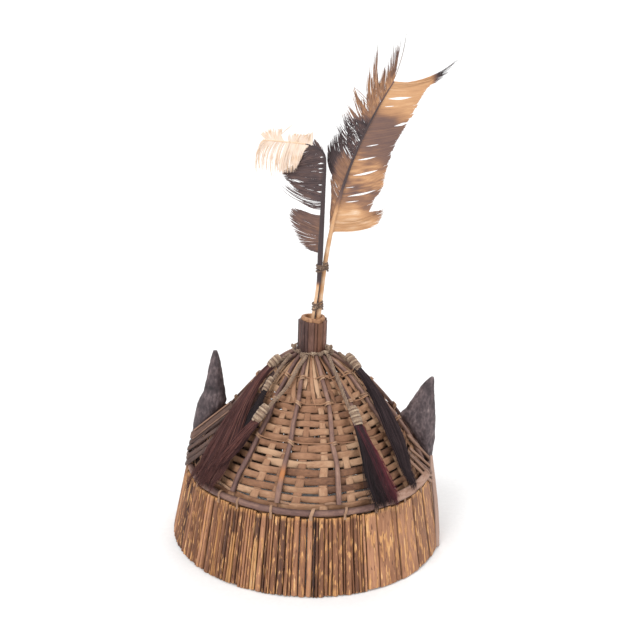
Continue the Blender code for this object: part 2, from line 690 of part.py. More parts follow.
def make_tassel(name, hair, path, stem_end, wrap_end, width, layer):
    """A tassel lying down the crown: a thong stem, a twine wrap and a bundle of hair in locks."""
    lengths = [0.0]
    corners = [crown_point(azimuth, rise * CROWN_RISE) for azimuth, rise in path]
    for low, high in zip(corners, corners[1:]):
        lengths.append(lengths[-1] + (high - low).length)
    route = [(length / lengths[-1], azimuth, rise * CROWN_RISE)
             for length, (azimuth, rise) in zip(lengths, path)]
    whole = lengths[-1]
    raised = layer * (0.62 * HAIR_THICKNESS + SEAT_GAP)

    def section(share, half_width, half_thick, sides, locks=0.0, fray=0.0):
        azimuth, height = read_rows(route, share)
        bed = OVER_RINGS + CHORD_ROOM + raised * min(max((share - 0.25) * 5.0, 0.0), 1.0)
        low_azimuth, low_height = read_rows(route, share - 0.02)
        high_azimuth, high_height = read_rows(route, share + 0.02)
        along = (crown_point(high_azimuth, high_height)
                 - crown_point(low_azimuth, low_height)).normalized()
        normal = crown_normal(azimuth, height)
        across = along.cross(normal).normalized()
        normal = across.cross(along).normalized()
        middle = crown_point(azimuth, height, bed) + normal * half_thick
        ring = []
        for step in range(sides):
            turn = 2.0 * math.pi * (step + 0.5) / sides
            swell = 1.0 - locks * (step % 2)
            ring.append(middle + across * half_width * swell * math.cos(turn)
                        + normal * half_thick * swell * math.sin(turn)
                        + along * fray * (step % 2))
        return ring

    gap = 2.0 * SEAT_GAP / whole
    stem = [blend(0.0, stem_end, step / 4) for step in range(5)]
    loft(f"{name}_stem", [section(share, STEM_RADIUS, STEM_RADIUS, 6) for share in stem], "twine")
    start, end = stem_end + gap, wrap_end
    thick = HAIR_THICKNESS * (0.62 if width < 0.5 and not layer else 1.0)
    wrap_radius = min(WRAP_RADIUS, 0.62 * thick)
    barrel = ((0.0, 0.62), (0.2, 1.0), (0.8, 1.0), (1.0, 0.72))
    loft(f"{name}_wrap",
         [section(blend(start, end, along), wrap_radius * swell, wrap_radius * swell, 8)
          for along, swell in barrel], "twine")
    start = wrap_end + gap
    head = wrap_radius * 0.8
    foot = width * HAIR_WIDTH / 2
    bundle = ((0.0, 0.0, 0.55), (0.15, 0.16, 0.80), (0.35, 0.45, 1.00), (0.55, 0.75, 1.00),
              (0.78, 0.95, 0.85), (1.0, 1.0, 0.45))
    rings = []
    for along, spread, full in bundle:
        rings.append(section(blend(start, 1.0, along), blend(head, foot, spread),
                             full * thick / 2, 12, locks=0.14,
                             fray=-LOCK_STEP if along == 1.0 else 0.0))
    loft(f"{name}_hair", rings, f"{hair}_hair")


make_brim()
make_crown()
make_hoop()
make_ribs()
make_rings()
make_tube()
make_tube_canes()
make_neck_cord()
make_banded_feather()
make_dark_feather()
make_feather_ties()
make_horn("left", 180.0, LEFT_HORN_RISE, LEFT_HORN_ROWS)
make_horn("right", 0.0, RIGHT_HORN_RISE, RIGHT_HORN_ROWS)
make_lashings("left", 180.0, LEFT_HORN_RISE, LEFT_HORN_ROWS)
make_lashings("right", 0.0, RIGHT_HORN_RISE, RIGHT_HORN_ROWS)
for tassel in TASSELS:
    make_tassel(*tassel)
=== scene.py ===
import math
import random

import bpy
import numpy as np
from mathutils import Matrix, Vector, noise


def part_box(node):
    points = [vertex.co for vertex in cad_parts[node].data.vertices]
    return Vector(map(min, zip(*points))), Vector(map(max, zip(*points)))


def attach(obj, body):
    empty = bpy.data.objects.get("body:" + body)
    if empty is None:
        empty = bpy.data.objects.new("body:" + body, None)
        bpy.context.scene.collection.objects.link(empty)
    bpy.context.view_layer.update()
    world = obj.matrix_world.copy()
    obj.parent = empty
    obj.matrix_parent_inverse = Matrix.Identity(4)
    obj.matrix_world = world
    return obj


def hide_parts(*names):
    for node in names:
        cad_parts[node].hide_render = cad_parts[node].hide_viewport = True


# Looks of the feathered warrior hat. The front looks along -Y, and lengths are in metres.
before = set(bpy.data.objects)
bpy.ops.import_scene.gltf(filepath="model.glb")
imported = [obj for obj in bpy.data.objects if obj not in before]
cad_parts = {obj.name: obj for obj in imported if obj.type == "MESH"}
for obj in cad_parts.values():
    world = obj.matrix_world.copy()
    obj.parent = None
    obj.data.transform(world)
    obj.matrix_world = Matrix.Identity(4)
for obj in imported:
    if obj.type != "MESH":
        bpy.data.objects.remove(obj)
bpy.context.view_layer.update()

# Woven crown
# Split cane woven over one and under one round upright strips, as one long spiral from the
# foot up. Near the top the weaving stops and the uprights are drawn in to the tube.
BRIM_TOP = float(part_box("brim_slats")[1][2])
CROWN_RISE = 0.1005
CROWN_LEAN = 0.0030
CROWN_PROFILE = np.array((
    (-0.0120, 0.1055), (0.0000, 0.1031), (0.0120, 0.0970), (0.0290, 0.0855), (0.0470, 0.0716),
    (0.0635, 0.0575), (0.0775, 0.0445), (0.0890, 0.0315), (0.0970, 0.0200), (0.1005, 0.0140),
    (0.1050, 0.0131)))
SLOPE_STEP = 0.002


def smooth_curve(places, values):
    """A smooth line through a table, as a function of the place."""
    places = np.asarray(places, float)
    values = np.asarray(values, float)
    slopes = np.gradient(values, places)

    def read(where):
        where = np.clip(where, places[0], places[-1])
        index = np.clip(np.searchsorted(places, where) - 1, 0, len(places) - 2)
        span = places[index + 1] - places[index]
        t = (where - places[index]) / span
        rest = 1.0 - t
        return (values[index] * (1 + 2 * t) * rest ** 2 + slopes[index] * span * t * rest ** 2
                + values[index + 1] * (3 - 2 * t) * t ** 2
                - slopes[index + 1] * span * rest * t ** 2)
    return read


crown_radius = smooth_curve(*CROWN_PROFILE.T)


def crown_facing(height):
    """Outward and upward shares of the skin's direction at a height above the brim's top."""
    above, below = crown_radius(height + SLOPE_STEP), crown_radius(height - SLOPE_STEP)
    fall = (above - below) / (2 * SLOPE_STEP)
    length = np.sqrt(1.0 + fall ** 2)
    return 1.0 / length, -fall / length


def on_crown(azimuth, height, lift=0.0):
    """Points at a lift above the crown's skin; height is above the brim's top."""
    azimuth, height, lift = np.broadcast_arrays(np.radians(azimuth), height, lift)
    outward, upward = crown_facing(height)
    reach = crown_radius(height) + lift * outward
    lean = CROWN_LEAN * np.sin(math.pi * np.clip(height / CROWN_RISE, 0.0, 1.0))
    return np.stack([reach * np.cos(azimuth) + lean, reach * np.sin(azimuth),
                     BRIM_TOP + height + lift * upward], -1)


def off_crown(azimuth, height):
    """Directions that point straight off the crown's skin."""
    azimuth, height = np.broadcast_arrays(np.radians(azimuth), height)
    outward, upward = crown_facing(height)
    return np.stack([outward * np.cos(azimuth), outward * np.sin(azimuth), upward], -1)


def unit(vectors):
    return vectors / np.linalg.norm(vectors, axis=-1, keepdims=True)

def length_along(line):
    """How far along a line each of its points lies."""
    return np.concatenate([[0.0], np.linalg.norm(np.diff(line, axis=0), axis=1)]).cumsum()


def outline(*corners):
    return np.array(corners, float)


FLAT_STRIP = outline((1, 0), (0.86, 0.62), (0.4, 1), (-0.4, 1), (-0.86, 0.62),
                     (-1, 0), (-0.86, -0.62), (0, -1), (0.86, -0.62))
ROUND_CANE = outline(*((math.cos(math.radians(a)), math.sin(math.radians(a)))
                       for a in range(0, 360, 45)))


class Bundle:
    """The strips of one piece, with a tone for each strip and a place along and across it."""

    def __init__(self):
        self.points = []
        self.faces = []
        self.marks = {"tone": [], "run": [], "side": [], "over": [], "patch": []}
        self.count = 0

    def skin(self, rings, endless=False, **marks):
        """Join rings of points into a skin, with its ends closed unless it is endless."""
        steps, count = rings.shape[:2]
        index = self.count + np.arange(steps * count).reshape(steps, count)
        if endless:
            low, high = index, np.roll(index, -1, axis=0)
        else:
            low, high = index[:-1], index[1:]
            self.faces += [index[0, ::-1].tolist(), index[-1].tolist()]
        quads = np.stack([low, np.roll(low, -1, axis=1), np.roll(high, -1, axis=1), high], -1)
        self.faces += quads.reshape(-1, 4).tolist()
        self.points.append(rings.reshape(-1, 3))
        for name, values in self.marks.items():
            values.append(np.broadcast_to(marks.get(name, 0.0), (steps, count)).ravel())
        self.count += steps * count

    def strip(self, line, facing, width, thickness, tone, shape=FLAT_STRIP, endless=False,
              patch=0.0):
        """Add one strip along a line, lying flat to the directions given in facing."""
        line = np.asarray(line, float)
        if endless:
            along = unit(np.roll(line, -1, axis=0) - np.roll(line, 1, axis=0))
        else:
            along = unit(np.gradient(line, axis=0))
        across = unit(np.cross(np.broadcast_to(facing, line.shape), along))
        over = np.cross(along, across)
        width, thickness, tone, patch = (np.broadcast_to(np.asarray(value, float), len(line))
                                         for value in (width, thickness, tone, patch))
        rings = (line[:, None] + across[:, None] * (width[:, None, None] / 2 * shape[None, :, :1])
                 + over[:, None] * (thickness[:, None, None] / 2 * shape[None, :, 1:]))
        self.skin(rings, endless, tone=tone[:, None], run=length_along(line)[:, None],
                  side=shape[:, 0], over=shape[:, 1], patch=patch[:, None])

    def piece(self, name, material, slot, *nodes):
        """Make the bundle one object that stands for the named parts of the model."""
        mesh = bpy.data.meshes.new(name)
        mesh.from_pydata(np.concatenate(self.points), [], self.faces)
        for mark, parts in self.marks.items():
            layer = mesh.attributes.new(mark, "FLOAT", "POINT")
            layer.data.foreach_set("value", np.concatenate(parts).astype(np.float32))
        mesh.shade_smooth()
        mesh.set_sharp_from_angle(angle=math.radians(50))
        mesh.materials.append(material)
        made = put_in_scene(name, mesh)
        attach(made, "root")
        if nodes:
            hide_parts(*nodes)


def put_in_scene(name, data):
    made = bpy.data.objects.new(name, data)
    bpy.context.scene.collection.objects.link(made)
    return made


def swatch(red, green, blue):
    """Linear colour of a swatch whose parts run from 0 to 255."""
    return tuple((part / 255 / 12.92 if part < 10 else ((part / 255 + 0.055) / 1.055) ** 2.4)
                 for part in (red, green, blue)) + (1.0,)


class Finish:
    """A material being built from fibres, patches and each strip's own tone."""

    def __init__(self, name):
        self.material = bpy.data.materials.new(name)
        self.material.use_nodes = True
        self.tree = self.material.node_tree
        self.shader = self.tree.nodes["Principled BSDF"]

    def node(self, kind, **settings):
        made = self.tree.nodes.new(kind)
        for name, value in settings.items():
            setattr(made, name, value)
        return made

    def feed(self, value, socket):
        """Join an output to a socket, or set the socket to a number."""
        if isinstance(value, bpy.types.NodeSocket):
            self.tree.links.new(value, socket)
        else:
            socket.default_value = value

    def sum(self, one, two, how="ADD"):
        made = self.node("ShaderNodeMath", operation=how)
        self.feed(one, made.inputs[0])
        self.feed(two, made.inputs[1])
        return made.outputs[0]

    def mark(self, name):
        return self.node("ShaderNodeAttribute", attribute_name=name).outputs["Fac"]

    def grain(self, place, scale, detail, roughness):
        """Noise at a place, with a number of cells to each unit of it."""
        made = self.node("ShaderNodeTexNoise")
        for name, value in (("Scale", scale), ("Detail", detail), ("Roughness", roughness)):
            made.inputs[name].default_value = value
        self.feed(place, made.inputs["Vector"])
        return made.outputs["Fac"]

    def fibres(self, across, along, detail=4.0):
        """Noise stretched along each strip: cells to its half width, and cells to a metre."""
        place = self.node("ShaderNodeCombineXYZ")
        for axis, (mark, cells) in enumerate((("side", across), ("run", along), ("tone", 57.0))):
            self.feed(self.sum(self.mark(mark), cells, "MULTIPLY"), place.inputs[axis])
        return self.grain(place.outputs[0], 1.0, detail, 0.65)

    def patches(self, size, detail=3.0, stretch=(1.0, 1.0, 1.0)):
        """Noise through the whole piece, with cells of a size in metres."""
        place = self.node("ShaderNodeTexCoord")
        scaled = self.node("ShaderNodeMapping")
        scaled.inputs["Scale"].default_value = stretch
        self.feed(place.outputs["Object"], scaled.inputs["Vector"])
        return self.grain(scaled.outputs[0], 1.0 / size, detail, 0.5)

    def spread(self, value, low, high, new_low=0.0, new_high=1.0):
        """Stretch a range of values to a new one."""
        made = self.node("ShaderNodeMapRange")
        self.feed(value, made.inputs["Value"])
        for socket, number in zip(("From Min", "From Max", "To Min", "To Max"),
                                  (low, high, new_low, new_high)):
            made.inputs[socket].default_value = number
        return made.outputs["Result"]

    def mixture(self, *parts):
        """Weighted sum of values, each given as a pair of value and weight."""
        whole = None
        for value, weight in parts:
            part = self.sum(value, weight, "MULTIPLY")
            whole = part if whole is None else self.sum(whole, part)
        return whole

    def ramp(self, value, *stops):
        """Colour from a value, by stops of place and swatch."""
        made = self.node("ShaderNodeValToRGB")
        stripe = made.color_ramp
        while len(stripe.elements) < len(stops):
            stripe.elements.new(0.5)
        for element, (place, colour) in zip(stripe.elements, stops):
            element.position = place
            element.color = swatch(*colour)
        self.feed(value, made.inputs["Fac"])
        return made.outputs["Color"]

    def blend(self, share, one, two):
        made = self.node("ShaderNodeMix", data_type="RGBA")
        self.feed(share, made.inputs[0])
        for value, socket in ((one, made.inputs[6]), (two, made.inputs[7])):
            self.feed(swatch(*value) if isinstance(value, tuple) else value, socket)
        return made.outputs[2]

    def paint_shade(self, colour, painted_shade, edges=0.5, inside=0.8, crease_from=0.72):
        """Paint shade onto a strip's inner face and into the creases along its edges, in a given
        shade colour.
        """
        edge = self.sum(self.mark("side"), 0.0, "ABSOLUTE")
        edge = self.spread(edge, crease_from, 1.0, 0.0, edges)
        back = self.spread(self.mark("over"), 0.0, -0.7, 0.0, inside)
        return self.blend(self.sum(edge, back, "MAXIMUM"), colour, painted_shade)

    def done(self, colour, rough, bump, depth, relief=1.0, sheen=0.0, gloss=0.5):
        """Join colour, roughness range and bump height to the shader."""
        self.feed(colour, self.shader.inputs["Base Color"])
        self.feed(self.spread(bump, 0.3, 0.7, *rough), self.shader.inputs["Roughness"])
        height = self.node("ShaderNodeBump")
        height.inputs["Strength"].default_value = relief
        height.inputs["Distance"].default_value = depth
        self.feed(bump, height.inputs["Height"])
        self.feed(height.outputs[0], self.shader.inputs["Normal"])
        self.shader.inputs["Sheen Weight"].default_value = sheen
        self.shader.inputs["Specular IOR Level"].default_value = gloss
        return self.material


def strip_finish(name, fibres, weights, patch_size, stops, rough, depth, relief, gloss,
                 painted_shade=None, edges=0.5, inside=0.8, bare=None, sheen=0.0):
    """A finish for strips, coloured by weights of their tones, their fibres and patches, and
    darkened by painted shade where a shade colour is given.
    """
    made = Finish(name)
    fibre = made.fibres(*fibres)
    mix = made.mixture((made.mark("tone"), weights[0]), (fibre, weights[1]),
                       (made.patches(patch_size), weights[2]))
    colour = made.ramp(mix, *stops)
    if bare:
        colour = made.blend(made.mark("patch"), colour, bare)
    if painted_shade:
        # Painted shade in the creases along the edges and on the inner faces
        colour = made.paint_shade(colour, painted_shade, edges, inside)
    return made.done(colour, rough, fibre, depth, relief, sheen, gloss)


# The woven cane gets painted shade in the creases along its strips' edges and on their inner
# faces.
woven_cane = strip_finish(
    "woven split cane", (2.2, 260.0), (0.62, 0.38, 0.34), 0.011,
    ((0.30, (62, 40, 32)), (0.44, (100, 68, 51)), (0.60, (136, 97, 72)), (0.76, (158, 118, 90)),
     (0.92, (184, 148, 118))),
    rough=(0.55, 0.8), depth=0.0006, relief=0.7, gloss=0.3, painted_shade=(44, 29, 23), edges=0.6)

FRONT_UPRIGHTS = (-116.1, -105.5, -94.7, -82.5, -69.3)
UPRIGHT_COUNT = 31
UPRIGHT_WIDTH = 0.0078
UPRIGHT_FOOT_REACH = 0.103
UPRIGHT_THICKNESS = 0.0008
UPRIGHT_SWING = 0.00038
WEAVE_MIDDLE = -0.00125
WEAVE_FOOT = 0.0040
WEAVE_TOP = 0.0905
ROW_PITCH = 0.0067
WEFT_THICKNESS = 0.0010
WEFT_SWING = 0.00092
WEFT_SNAP = 1.7
WEFT_STEPS = 9
hidden_step = ((360.0 + FRONT_UPRIGHTS[0] - FRONT_UPRIGHTS[-1])
               / (UPRIGHT_COUNT - len(FRONT_UPRIGHTS) + 1))
uprights = list(FRONT_UPRIGHTS) + [FRONT_UPRIGHTS[-1] + hidden_step * (turn + 1)
                                   for turn in range(UPRIGHT_COUNT - len(FRONT_UPRIGHTS))]
upright_marks = np.array(uprights + [uprights[0] + 360.0]) - uprights[0]

# Length up the skin against height, so that rows keep an even pitch on the slope
climb_heights = np.linspace(-0.0120, CROWN_RISE + 0.0020, 400)
climb = length_along(np.stack([climb_heights, crown_radius(climb_heights)], -1))


def height_at(length):
    return np.interp(length, climb, climb_heights)


def row_of(height, azimuth):
    """How many rows the spiral has climbed where it passes a place."""
    return np.interp(height, climb_heights, climb) / ROW_PITCH - (azimuth - uprights[0]) / 360.0


chance = np.random.default_rng(3)


def uneven(share, count, low, high):
    """Values that wander between a low and a high one while the share goes from 0 to 1."""
    return np.interp(share, np.linspace(0.0, 1.0, count), chance.uniform(low, high, count))


weave = Bundle()
turns_of_weft = (np.interp(WEAVE_TOP, climb_heights, climb) - WEAVE_FOOT) / ROW_PITCH
turn = np.linspace(0.0, turns_of_weft, int(turns_of_weft * UPRIGHT_COUNT * WEFT_STEPS))
passed = (np.floor(turn) * UPRIGHT_COUNT
          + np.interp(turn % 1.0 * 360.0, upright_marks, np.arange(UPRIGHT_COUNT + 1)))
wave = np.tanh(WEFT_SNAP * np.cos(math.pi * passed)) / math.tanh(WEFT_SNAP)
block = np.floor((passed + 1.0) / 2.0).astype(int)
block_tone = np.clip(chance.normal(0.52, 0.17, block.max() + 2), 0.05, 0.98)
knots = np.arange(int(passed.max()) + 3)
wander = np.interp(passed, knots, chance.normal(0.0, 0.00042, len(knots)))
swell = np.interp(passed, knots, chance.uniform(0.82, 1.10, len(knots)))
tilt = np.interp(passed, knots, chance.normal(0.34, 0.22, len(knots)))
weft_height = height_at(WEAVE_FOOT + ROW_PITCH * turn + wander)
weft_azimuth = uprights[0] + 360.0 * turn
weft_line = on_crown(weft_azimuth, weft_height, WEAVE_MIDDLE + WEFT_SWING * wave)
weft_facing = off_crown(weft_azimuth, weft_height)
weft_down = unit(np.cross(np.gradient(weft_line, axis=0), weft_facing))
weave.strip(weft_line, unit(weft_facing + weft_down * tilt[:, None]),
            ROW_PITCH * 0.92 * swell, WEFT_THICKNESS, block_tone[block])
for number, azimuth in enumerate(uprights):
    length = np.linspace(0.0008, climb[-1] - 0.0004, 104)
    height = height_at(length)
    drift = azimuth + np.interp(length, np.linspace(0.0, climb[-1], 9),
                                chance.normal(0.0, 0.35, 9))
    lift = WEAVE_MIDDLE - UPRIGHT_SWING * np.cos(math.pi * (number + row_of(height, drift)))
    reach = crown_radius(height)
    width = np.minimum(UPRIGHT_WIDTH * (reach / UPRIGHT_FOOT_REACH) ** 0.62,
                       0.90 * reach * 2 * math.pi / UPRIGHT_COUNT)
    width = width * uneven(length / climb[-1], 14, 0.9, 1.06)
    weave.strip(on_crown(drift, height, lift), off_crown(drift, height), width,
                UPRIGHT_THICKNESS, np.clip(chance.normal(0.66, 0.10), 0.0, 1.0))
# Pointed ends of the stakes that were pushed in beside the uprights at the top
STAKE_COUNT = 46
for number in range(STAKE_COUNT):
    azimuth = 360.0 * number / STAKE_COUNT + chance.normal(0.0, 2.0)
    low = chance.uniform(0.066, 0.084)
    height = np.linspace(low, CROWN_RISE + chance.uniform(-0.0006, 0.0024), 28)
    share = (height - low) / (height[-1] - low)
    bend = azimuth + chance.normal(0.0, 6.0) * (1.0 - share) ** 2
    width = (chance.uniform(0.0030, 0.0046) * np.minimum(1.0, share * 5.0 + 0.12)
             * np.interp(share, (0.0, 0.5, 1.0), (1.0, 0.85, 0.42)))
    lift = np.interp(share, (0.0, 0.35, 1.0), (-0.0012, 0.0004, -0.0002))
    weave.strip(on_crown(bend, height, lift + chance.uniform(0.0, 0.0004)),
                off_crown(bend, height), width, UPRIGHT_THICKNESS,
                np.clip(chance.normal(0.60, 0.24), 0.0, 1.0))
weave.piece("crown_weave", woven_cane, "woven_cane", "crown_basket")

# Brim
# Upright reeds split in half, set edge to edge with their round side out and sewn through
# behind. Their tops and feet are left uneven. Right of the front stand broad flat slats, close
# together, with the bark worn through in streaks.
BRIM_FOOT_RADIUS = 0.1200
BRIM_TOP_RADIUS = 0.1074
REED_THICKNESS = 0.0040
REED_WIDTH = 0.0060
SLAT_EDGES = (-64.0, -58.5, -50.0, -47.5, -36.0, -26.0, -13.5, -4.0)
TOP_SHORTFALL = 0.0018
# Their splitting: odds of one, two or three splinters lying side by side
SPLINTER_ODDS = (0.50, 0.36, 0.14)
NARROWEST_SPLINTER = 0.14
HALF_REED = outline((1, -1), (0.97, -0.25), (0.84, 0.35), (0.6, 0.72), (0.3, 0.93), (0, 1),
                    (-0.3, 0.93), (-0.6, 0.72), (-0.84, 0.35), (-0.97, -0.25), (-1, -1))
BROAD_SLAT = outline((1, -1), (0.99, 0.1), (0.96, 0.55), (0.88, 0.80), (0.6, 0.93), (0, 1),
                     (-0.6, 0.93), (-0.88, 0.80), (-0.96, 0.55), (-0.99, 0.1), (-1, -1))
# For reeds and for broad slats: section, narrowest share of the width, odds of a bared place,
# tone and its spread
REED_KINDS = ((HALF_REED, 0.88, 0.26, 0.50, 0.20), (BROAD_SLAT, 0.93, 0.0, 0.69, 0.08))

reed_chance = random.Random(7)
reed_edges = [-180.0]
while reed_edges[-1] < 180.0:
    reed_width = REED_WIDTH * reed_chance.uniform(0.82, 1.18)
    reed_edges.append(reed_edges[-1] + math.degrees(reed_width / BRIM_FOOT_RADIUS))
stretch = 360.0 / (reed_edges[-1] + 180.0)
reed_edges = [-180.0 + (edge + 180.0) * stretch for edge in reed_edges]
reed_edges = sorted([edge for edge in reed_edges
                     if not SLAT_EDGES[0] - 2.0 < edge < SLAT_EDGES[-1] + 2.0] + list(SLAT_EDGES))


def reed_bark(name, fineness, wear, worn_from, crease_from):
    """Reed bark that is worn through to golden wood in streaks and in long patches."""
    reed = Finish(name)
    fibre = reed.fibres(fineness, 46.0, detail=6.0)
    mix = reed.mixture((reed.mark("tone"), 0.62), (fibre, 0.56),
                       (reed.patches(0.010, stretch=(1.0, 1.0, 0.3)), 0.26))
    colour = reed.ramp(mix, (0.36, (52, 37, 34)), (0.50, (86, 58, 46)), (0.66, (124, 84, 61)),
                       (0.82, (152, 106, 77)), (0.98, (184, 134, 102)))
    peeled = reed.patches(wear, detail=2.0, stretch=(1.0, 1.0, 0.075))
    peeled = reed.sum(reed.spread(peeled, worn_from, worn_from + 0.035, 0.0, 0.9),
                      reed.mark("patch"), "MAXIMUM")
    peeled = reed.sum(peeled, reed.spread(fibre, 0.36, 0.50, 0.25, 1.0), "MULTIPLY")
    gold = reed.ramp(fibre, (0.35, (160, 106, 64)), (0.56, (214, 160, 104)),
                     (0.68, (240, 204, 154)))
    cracks = reed.patches(0.0014, detail=1.0, stretch=(1.0, 1.0, 0.022))
    colour = reed.blend(reed.spread(cracks, 0.66, 0.70, 0.0, 0.75),
                        reed.blend(peeled, colour, gold), (84, 52, 42))
    # Painted shade in the creases where neighbouring reeds meet and on the reeds' inner faces
    colour = reed.paint_shade(colour, (38, 26, 23), edges=0.75, crease_from=crease_from)
    return reed.done(colour, (0.5, 0.78), fibre, 0.0009, relief=0.9, gloss=0.3)


split_reed = reed_bark("split reed", 3.4, 0.0017, 0.565, 0.72)
broad_slat = reed_bark("broad slat", 6.0, 0.0030, 0.525, 0.92)


def brim_reach(height):
    share = np.asarray(height) / BRIM_TOP
    return BRIM_FOOT_RADIUS + (BRIM_TOP_RADIUS - BRIM_FOOT_RADIUS) * share


def polar(radius, azimuth, height):
    azimuth = np.radians(azimuth)
    return np.stack(np.broadcast_arrays(radius * np.cos(azimuth), radius * np.sin(azimuth),
                                        height), -1)


def outward(azimuth):
    return polar(1.0, azimuth, 0.0)


top_chance = random.Random(11)
reeds, slats = Bundle(), Bundle()
for low, high in zip(reed_edges, reed_edges[1:]):
    top = top_chance.uniform(BRIM_TOP - TOP_SHORTFALL, BRIM_TOP)
    worn = top_chance.uniform(0.0, 0.35)
    foot = chance.uniform(0.0004, 0.0016)
    broad = SLAT_EDGES[0] <= low < SLAT_EDGES[-1]
    section, narrowest, bared_odds, usual_tone, tone_spread = REED_KINDS[broad]
    splinters = 1 if broad else chance.choice((1, 2, 3), p=SPLINTER_ODDS)
    cuts = np.concatenate([[0.0], np.sort(chance.uniform(0.25, 0.75, splinters - 1)), [1.0]])
    peel_from, peel_to = np.sort(chance.uniform(-0.4, 1.4, 2))
    for near, far in zip(cuts, cuts[1:]):
        if far - near < NARROWEST_SPLINTER:
            continue
        height = np.linspace(foot, top - chance.uniform(0.0, 0.0008), 17)
        share = height / BRIM_TOP
        middle = low + (high - low) * (near + far) / 2
        sway = middle + chance.normal(0.0, 0.14) * np.sin(share * math.pi)
        wide = math.radians((high - low) * (far - near)) * brim_reach(height)
        wide = wide * uneven(share, 6, narrowest, 1.0)
        thick = REED_THICKNESS - (worn + chance.uniform(0.0, 1.0)) * 0.0006
        out = brim_reach(height) - REED_THICKNESS + thick / 2
        bare = np.where((share > peel_from) & (share < peel_to), 1.0, 0.0)
        bare = bare * (chance.random() < bared_odds) * chance.uniform(0.6, 1.0)
        bare[-1] = 1.0
        thick = thick * np.interp(share, (0.0, 0.05, 0.95, 1.0), (0.86, 1.0, 1.0, 0.86))
        tone = np.clip(usual_tone + tone_spread * chance.normal(0.0, 1.0), 0.0, 1.3)
        (slats if broad else reeds).strip(polar(out, sway, height), outward(sway), wide, thick,
                                          tone, shape=section, patch=bare)
reeds.piece("brim_reeds", split_reed, "reed", "brim_slats")
slats.piece("broad_slats", broad_slat, "reed")

# Rim hoop
# A round cane laid on the reeds' tops, stitched down to the brim with slanting turns of cane.
# Its ends meet right of the front under two flat splints.
HOOP_FULLNESS = 1.04
HOOP_LOW, HOOP_HIGH = (np.array(corner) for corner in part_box("rim_hoop"))
HOOP_RADIUS = (HOOP_HIGH[2] - HOOP_LOW[2]) / 2 * HOOP_FULLNESS
HOOP_REACH = HOOP_HIGH[0] - HOOP_RADIUS
HOOP_LEVEL = (HOOP_HIGH[2] + HOOP_LOW[2]) / 2
# Each splint's first and last azimuth, its rise above the hoop's middle line and its width
SPLINTS = ((-51.0, -34.5, 0.0008, 0.0078), (-35.5, -16.0, 0.0014, 0.0070))
SPLINT_THICKNESS = 0.0011

# The dark bark gets painted shade in the creases along its edges and on its inner faces.
dark_bark = strip_finish(
    "dark cane bark", (1.6, 150.0, 6.0), (0.5, 0.55, 0.4), 0.014,
    ((0.34, (46, 33, 32)), (0.52, (76, 54, 50)), (0.70, (108, 80, 73)), (0.88, (142, 110, 95)),
     (1.0, (170, 140, 125))),
    rough=(0.5, 0.75), depth=0.0007, relief=0.8, gloss=0.35, painted_shade=(36, 25, 24), inside=0.5,
    bare=(176, 112, 62))

hoop = Bundle()
azimuth = np.arange(0.0, 360.0, 3.0)
wave = np.interp(azimuth, np.arange(0.0, 361.0, 24.0),
                 chance.normal(0.0, 0.0004, 16)[np.r_[0:15, 0]])
hoop.strip(polar(HOOP_REACH, azimuth, HOOP_LEVEL + wave), outward(azimuth),
           2 * HOOP_RADIUS * (1.0 + 60.0 * wave), 2 * HOOP_RADIUS, 0.5, shape=ROUND_CANE,
           endless=True)
for low, high, rise, wide in SPLINTS:
    azimuth = np.linspace(low, high, 14)
    facing = unit(polar(1.0, azimuth, 0.9))
    hoop.strip(polar(HOOP_REACH, azimuth, HOOP_LEVEL + rise) + facing * (HOOP_RADIUS + 0.0007),
               facing, wide, SPLINT_THICKNESS, 0.98, patch=0.12)


def read_off(places, marks, rows):
    """Rows of a table read at places between its marks."""
    return np.stack([np.interp(places, marks, column) for column in np.transpose(rows)], -1)


# A bark slat stands down the brim's right side, from the horn to the foot. Its middle line and
# its width are in millimetres.
MM = 0.001
SIDE_SLAT = ((115.4, -33.0, 1.0, 6.0), (115.1, -29.5, 12.0, 6.6), (113.8, -24.5, 29.0, 6.45),
             (112.2, -21.5, 42.0, 6.3), (110.0, -19.0, 56.0, 6.15), (107.9, -17.0, 68.0, 6.0),
             (106.6, -16.0, 79.0, 4.0))
side_slat = read_off(np.linspace(0.0, 6.0, 25), range(7), SIDE_SLAT) * MM
hoop.strip(side_slat[:, :3], polar(1.0, -38.0, 0.1), side_slat[:, 3], 0.0022, 1.16)
hoop.piece("rim_cane", dark_bark, "dark_cane", "rim_hoop")

pale_strip = strip_finish(
    "pale cane strip", (2.5, 300.0), (0.6, 0.4, 0.2), 0.006,
    ((0.3, (84, 60, 48)), (0.55, (128, 96, 76)), (0.8, (168, 134, 108))),
    rough=(0.55, 0.8), depth=0.0004, relief=0.6, gloss=0.3)

SEEN_STITCHES = (-120.7, -104.9, -87.0, -72.6, -58.0)
STITCH_COUNT = 23
STITCH_STEP = 15.9
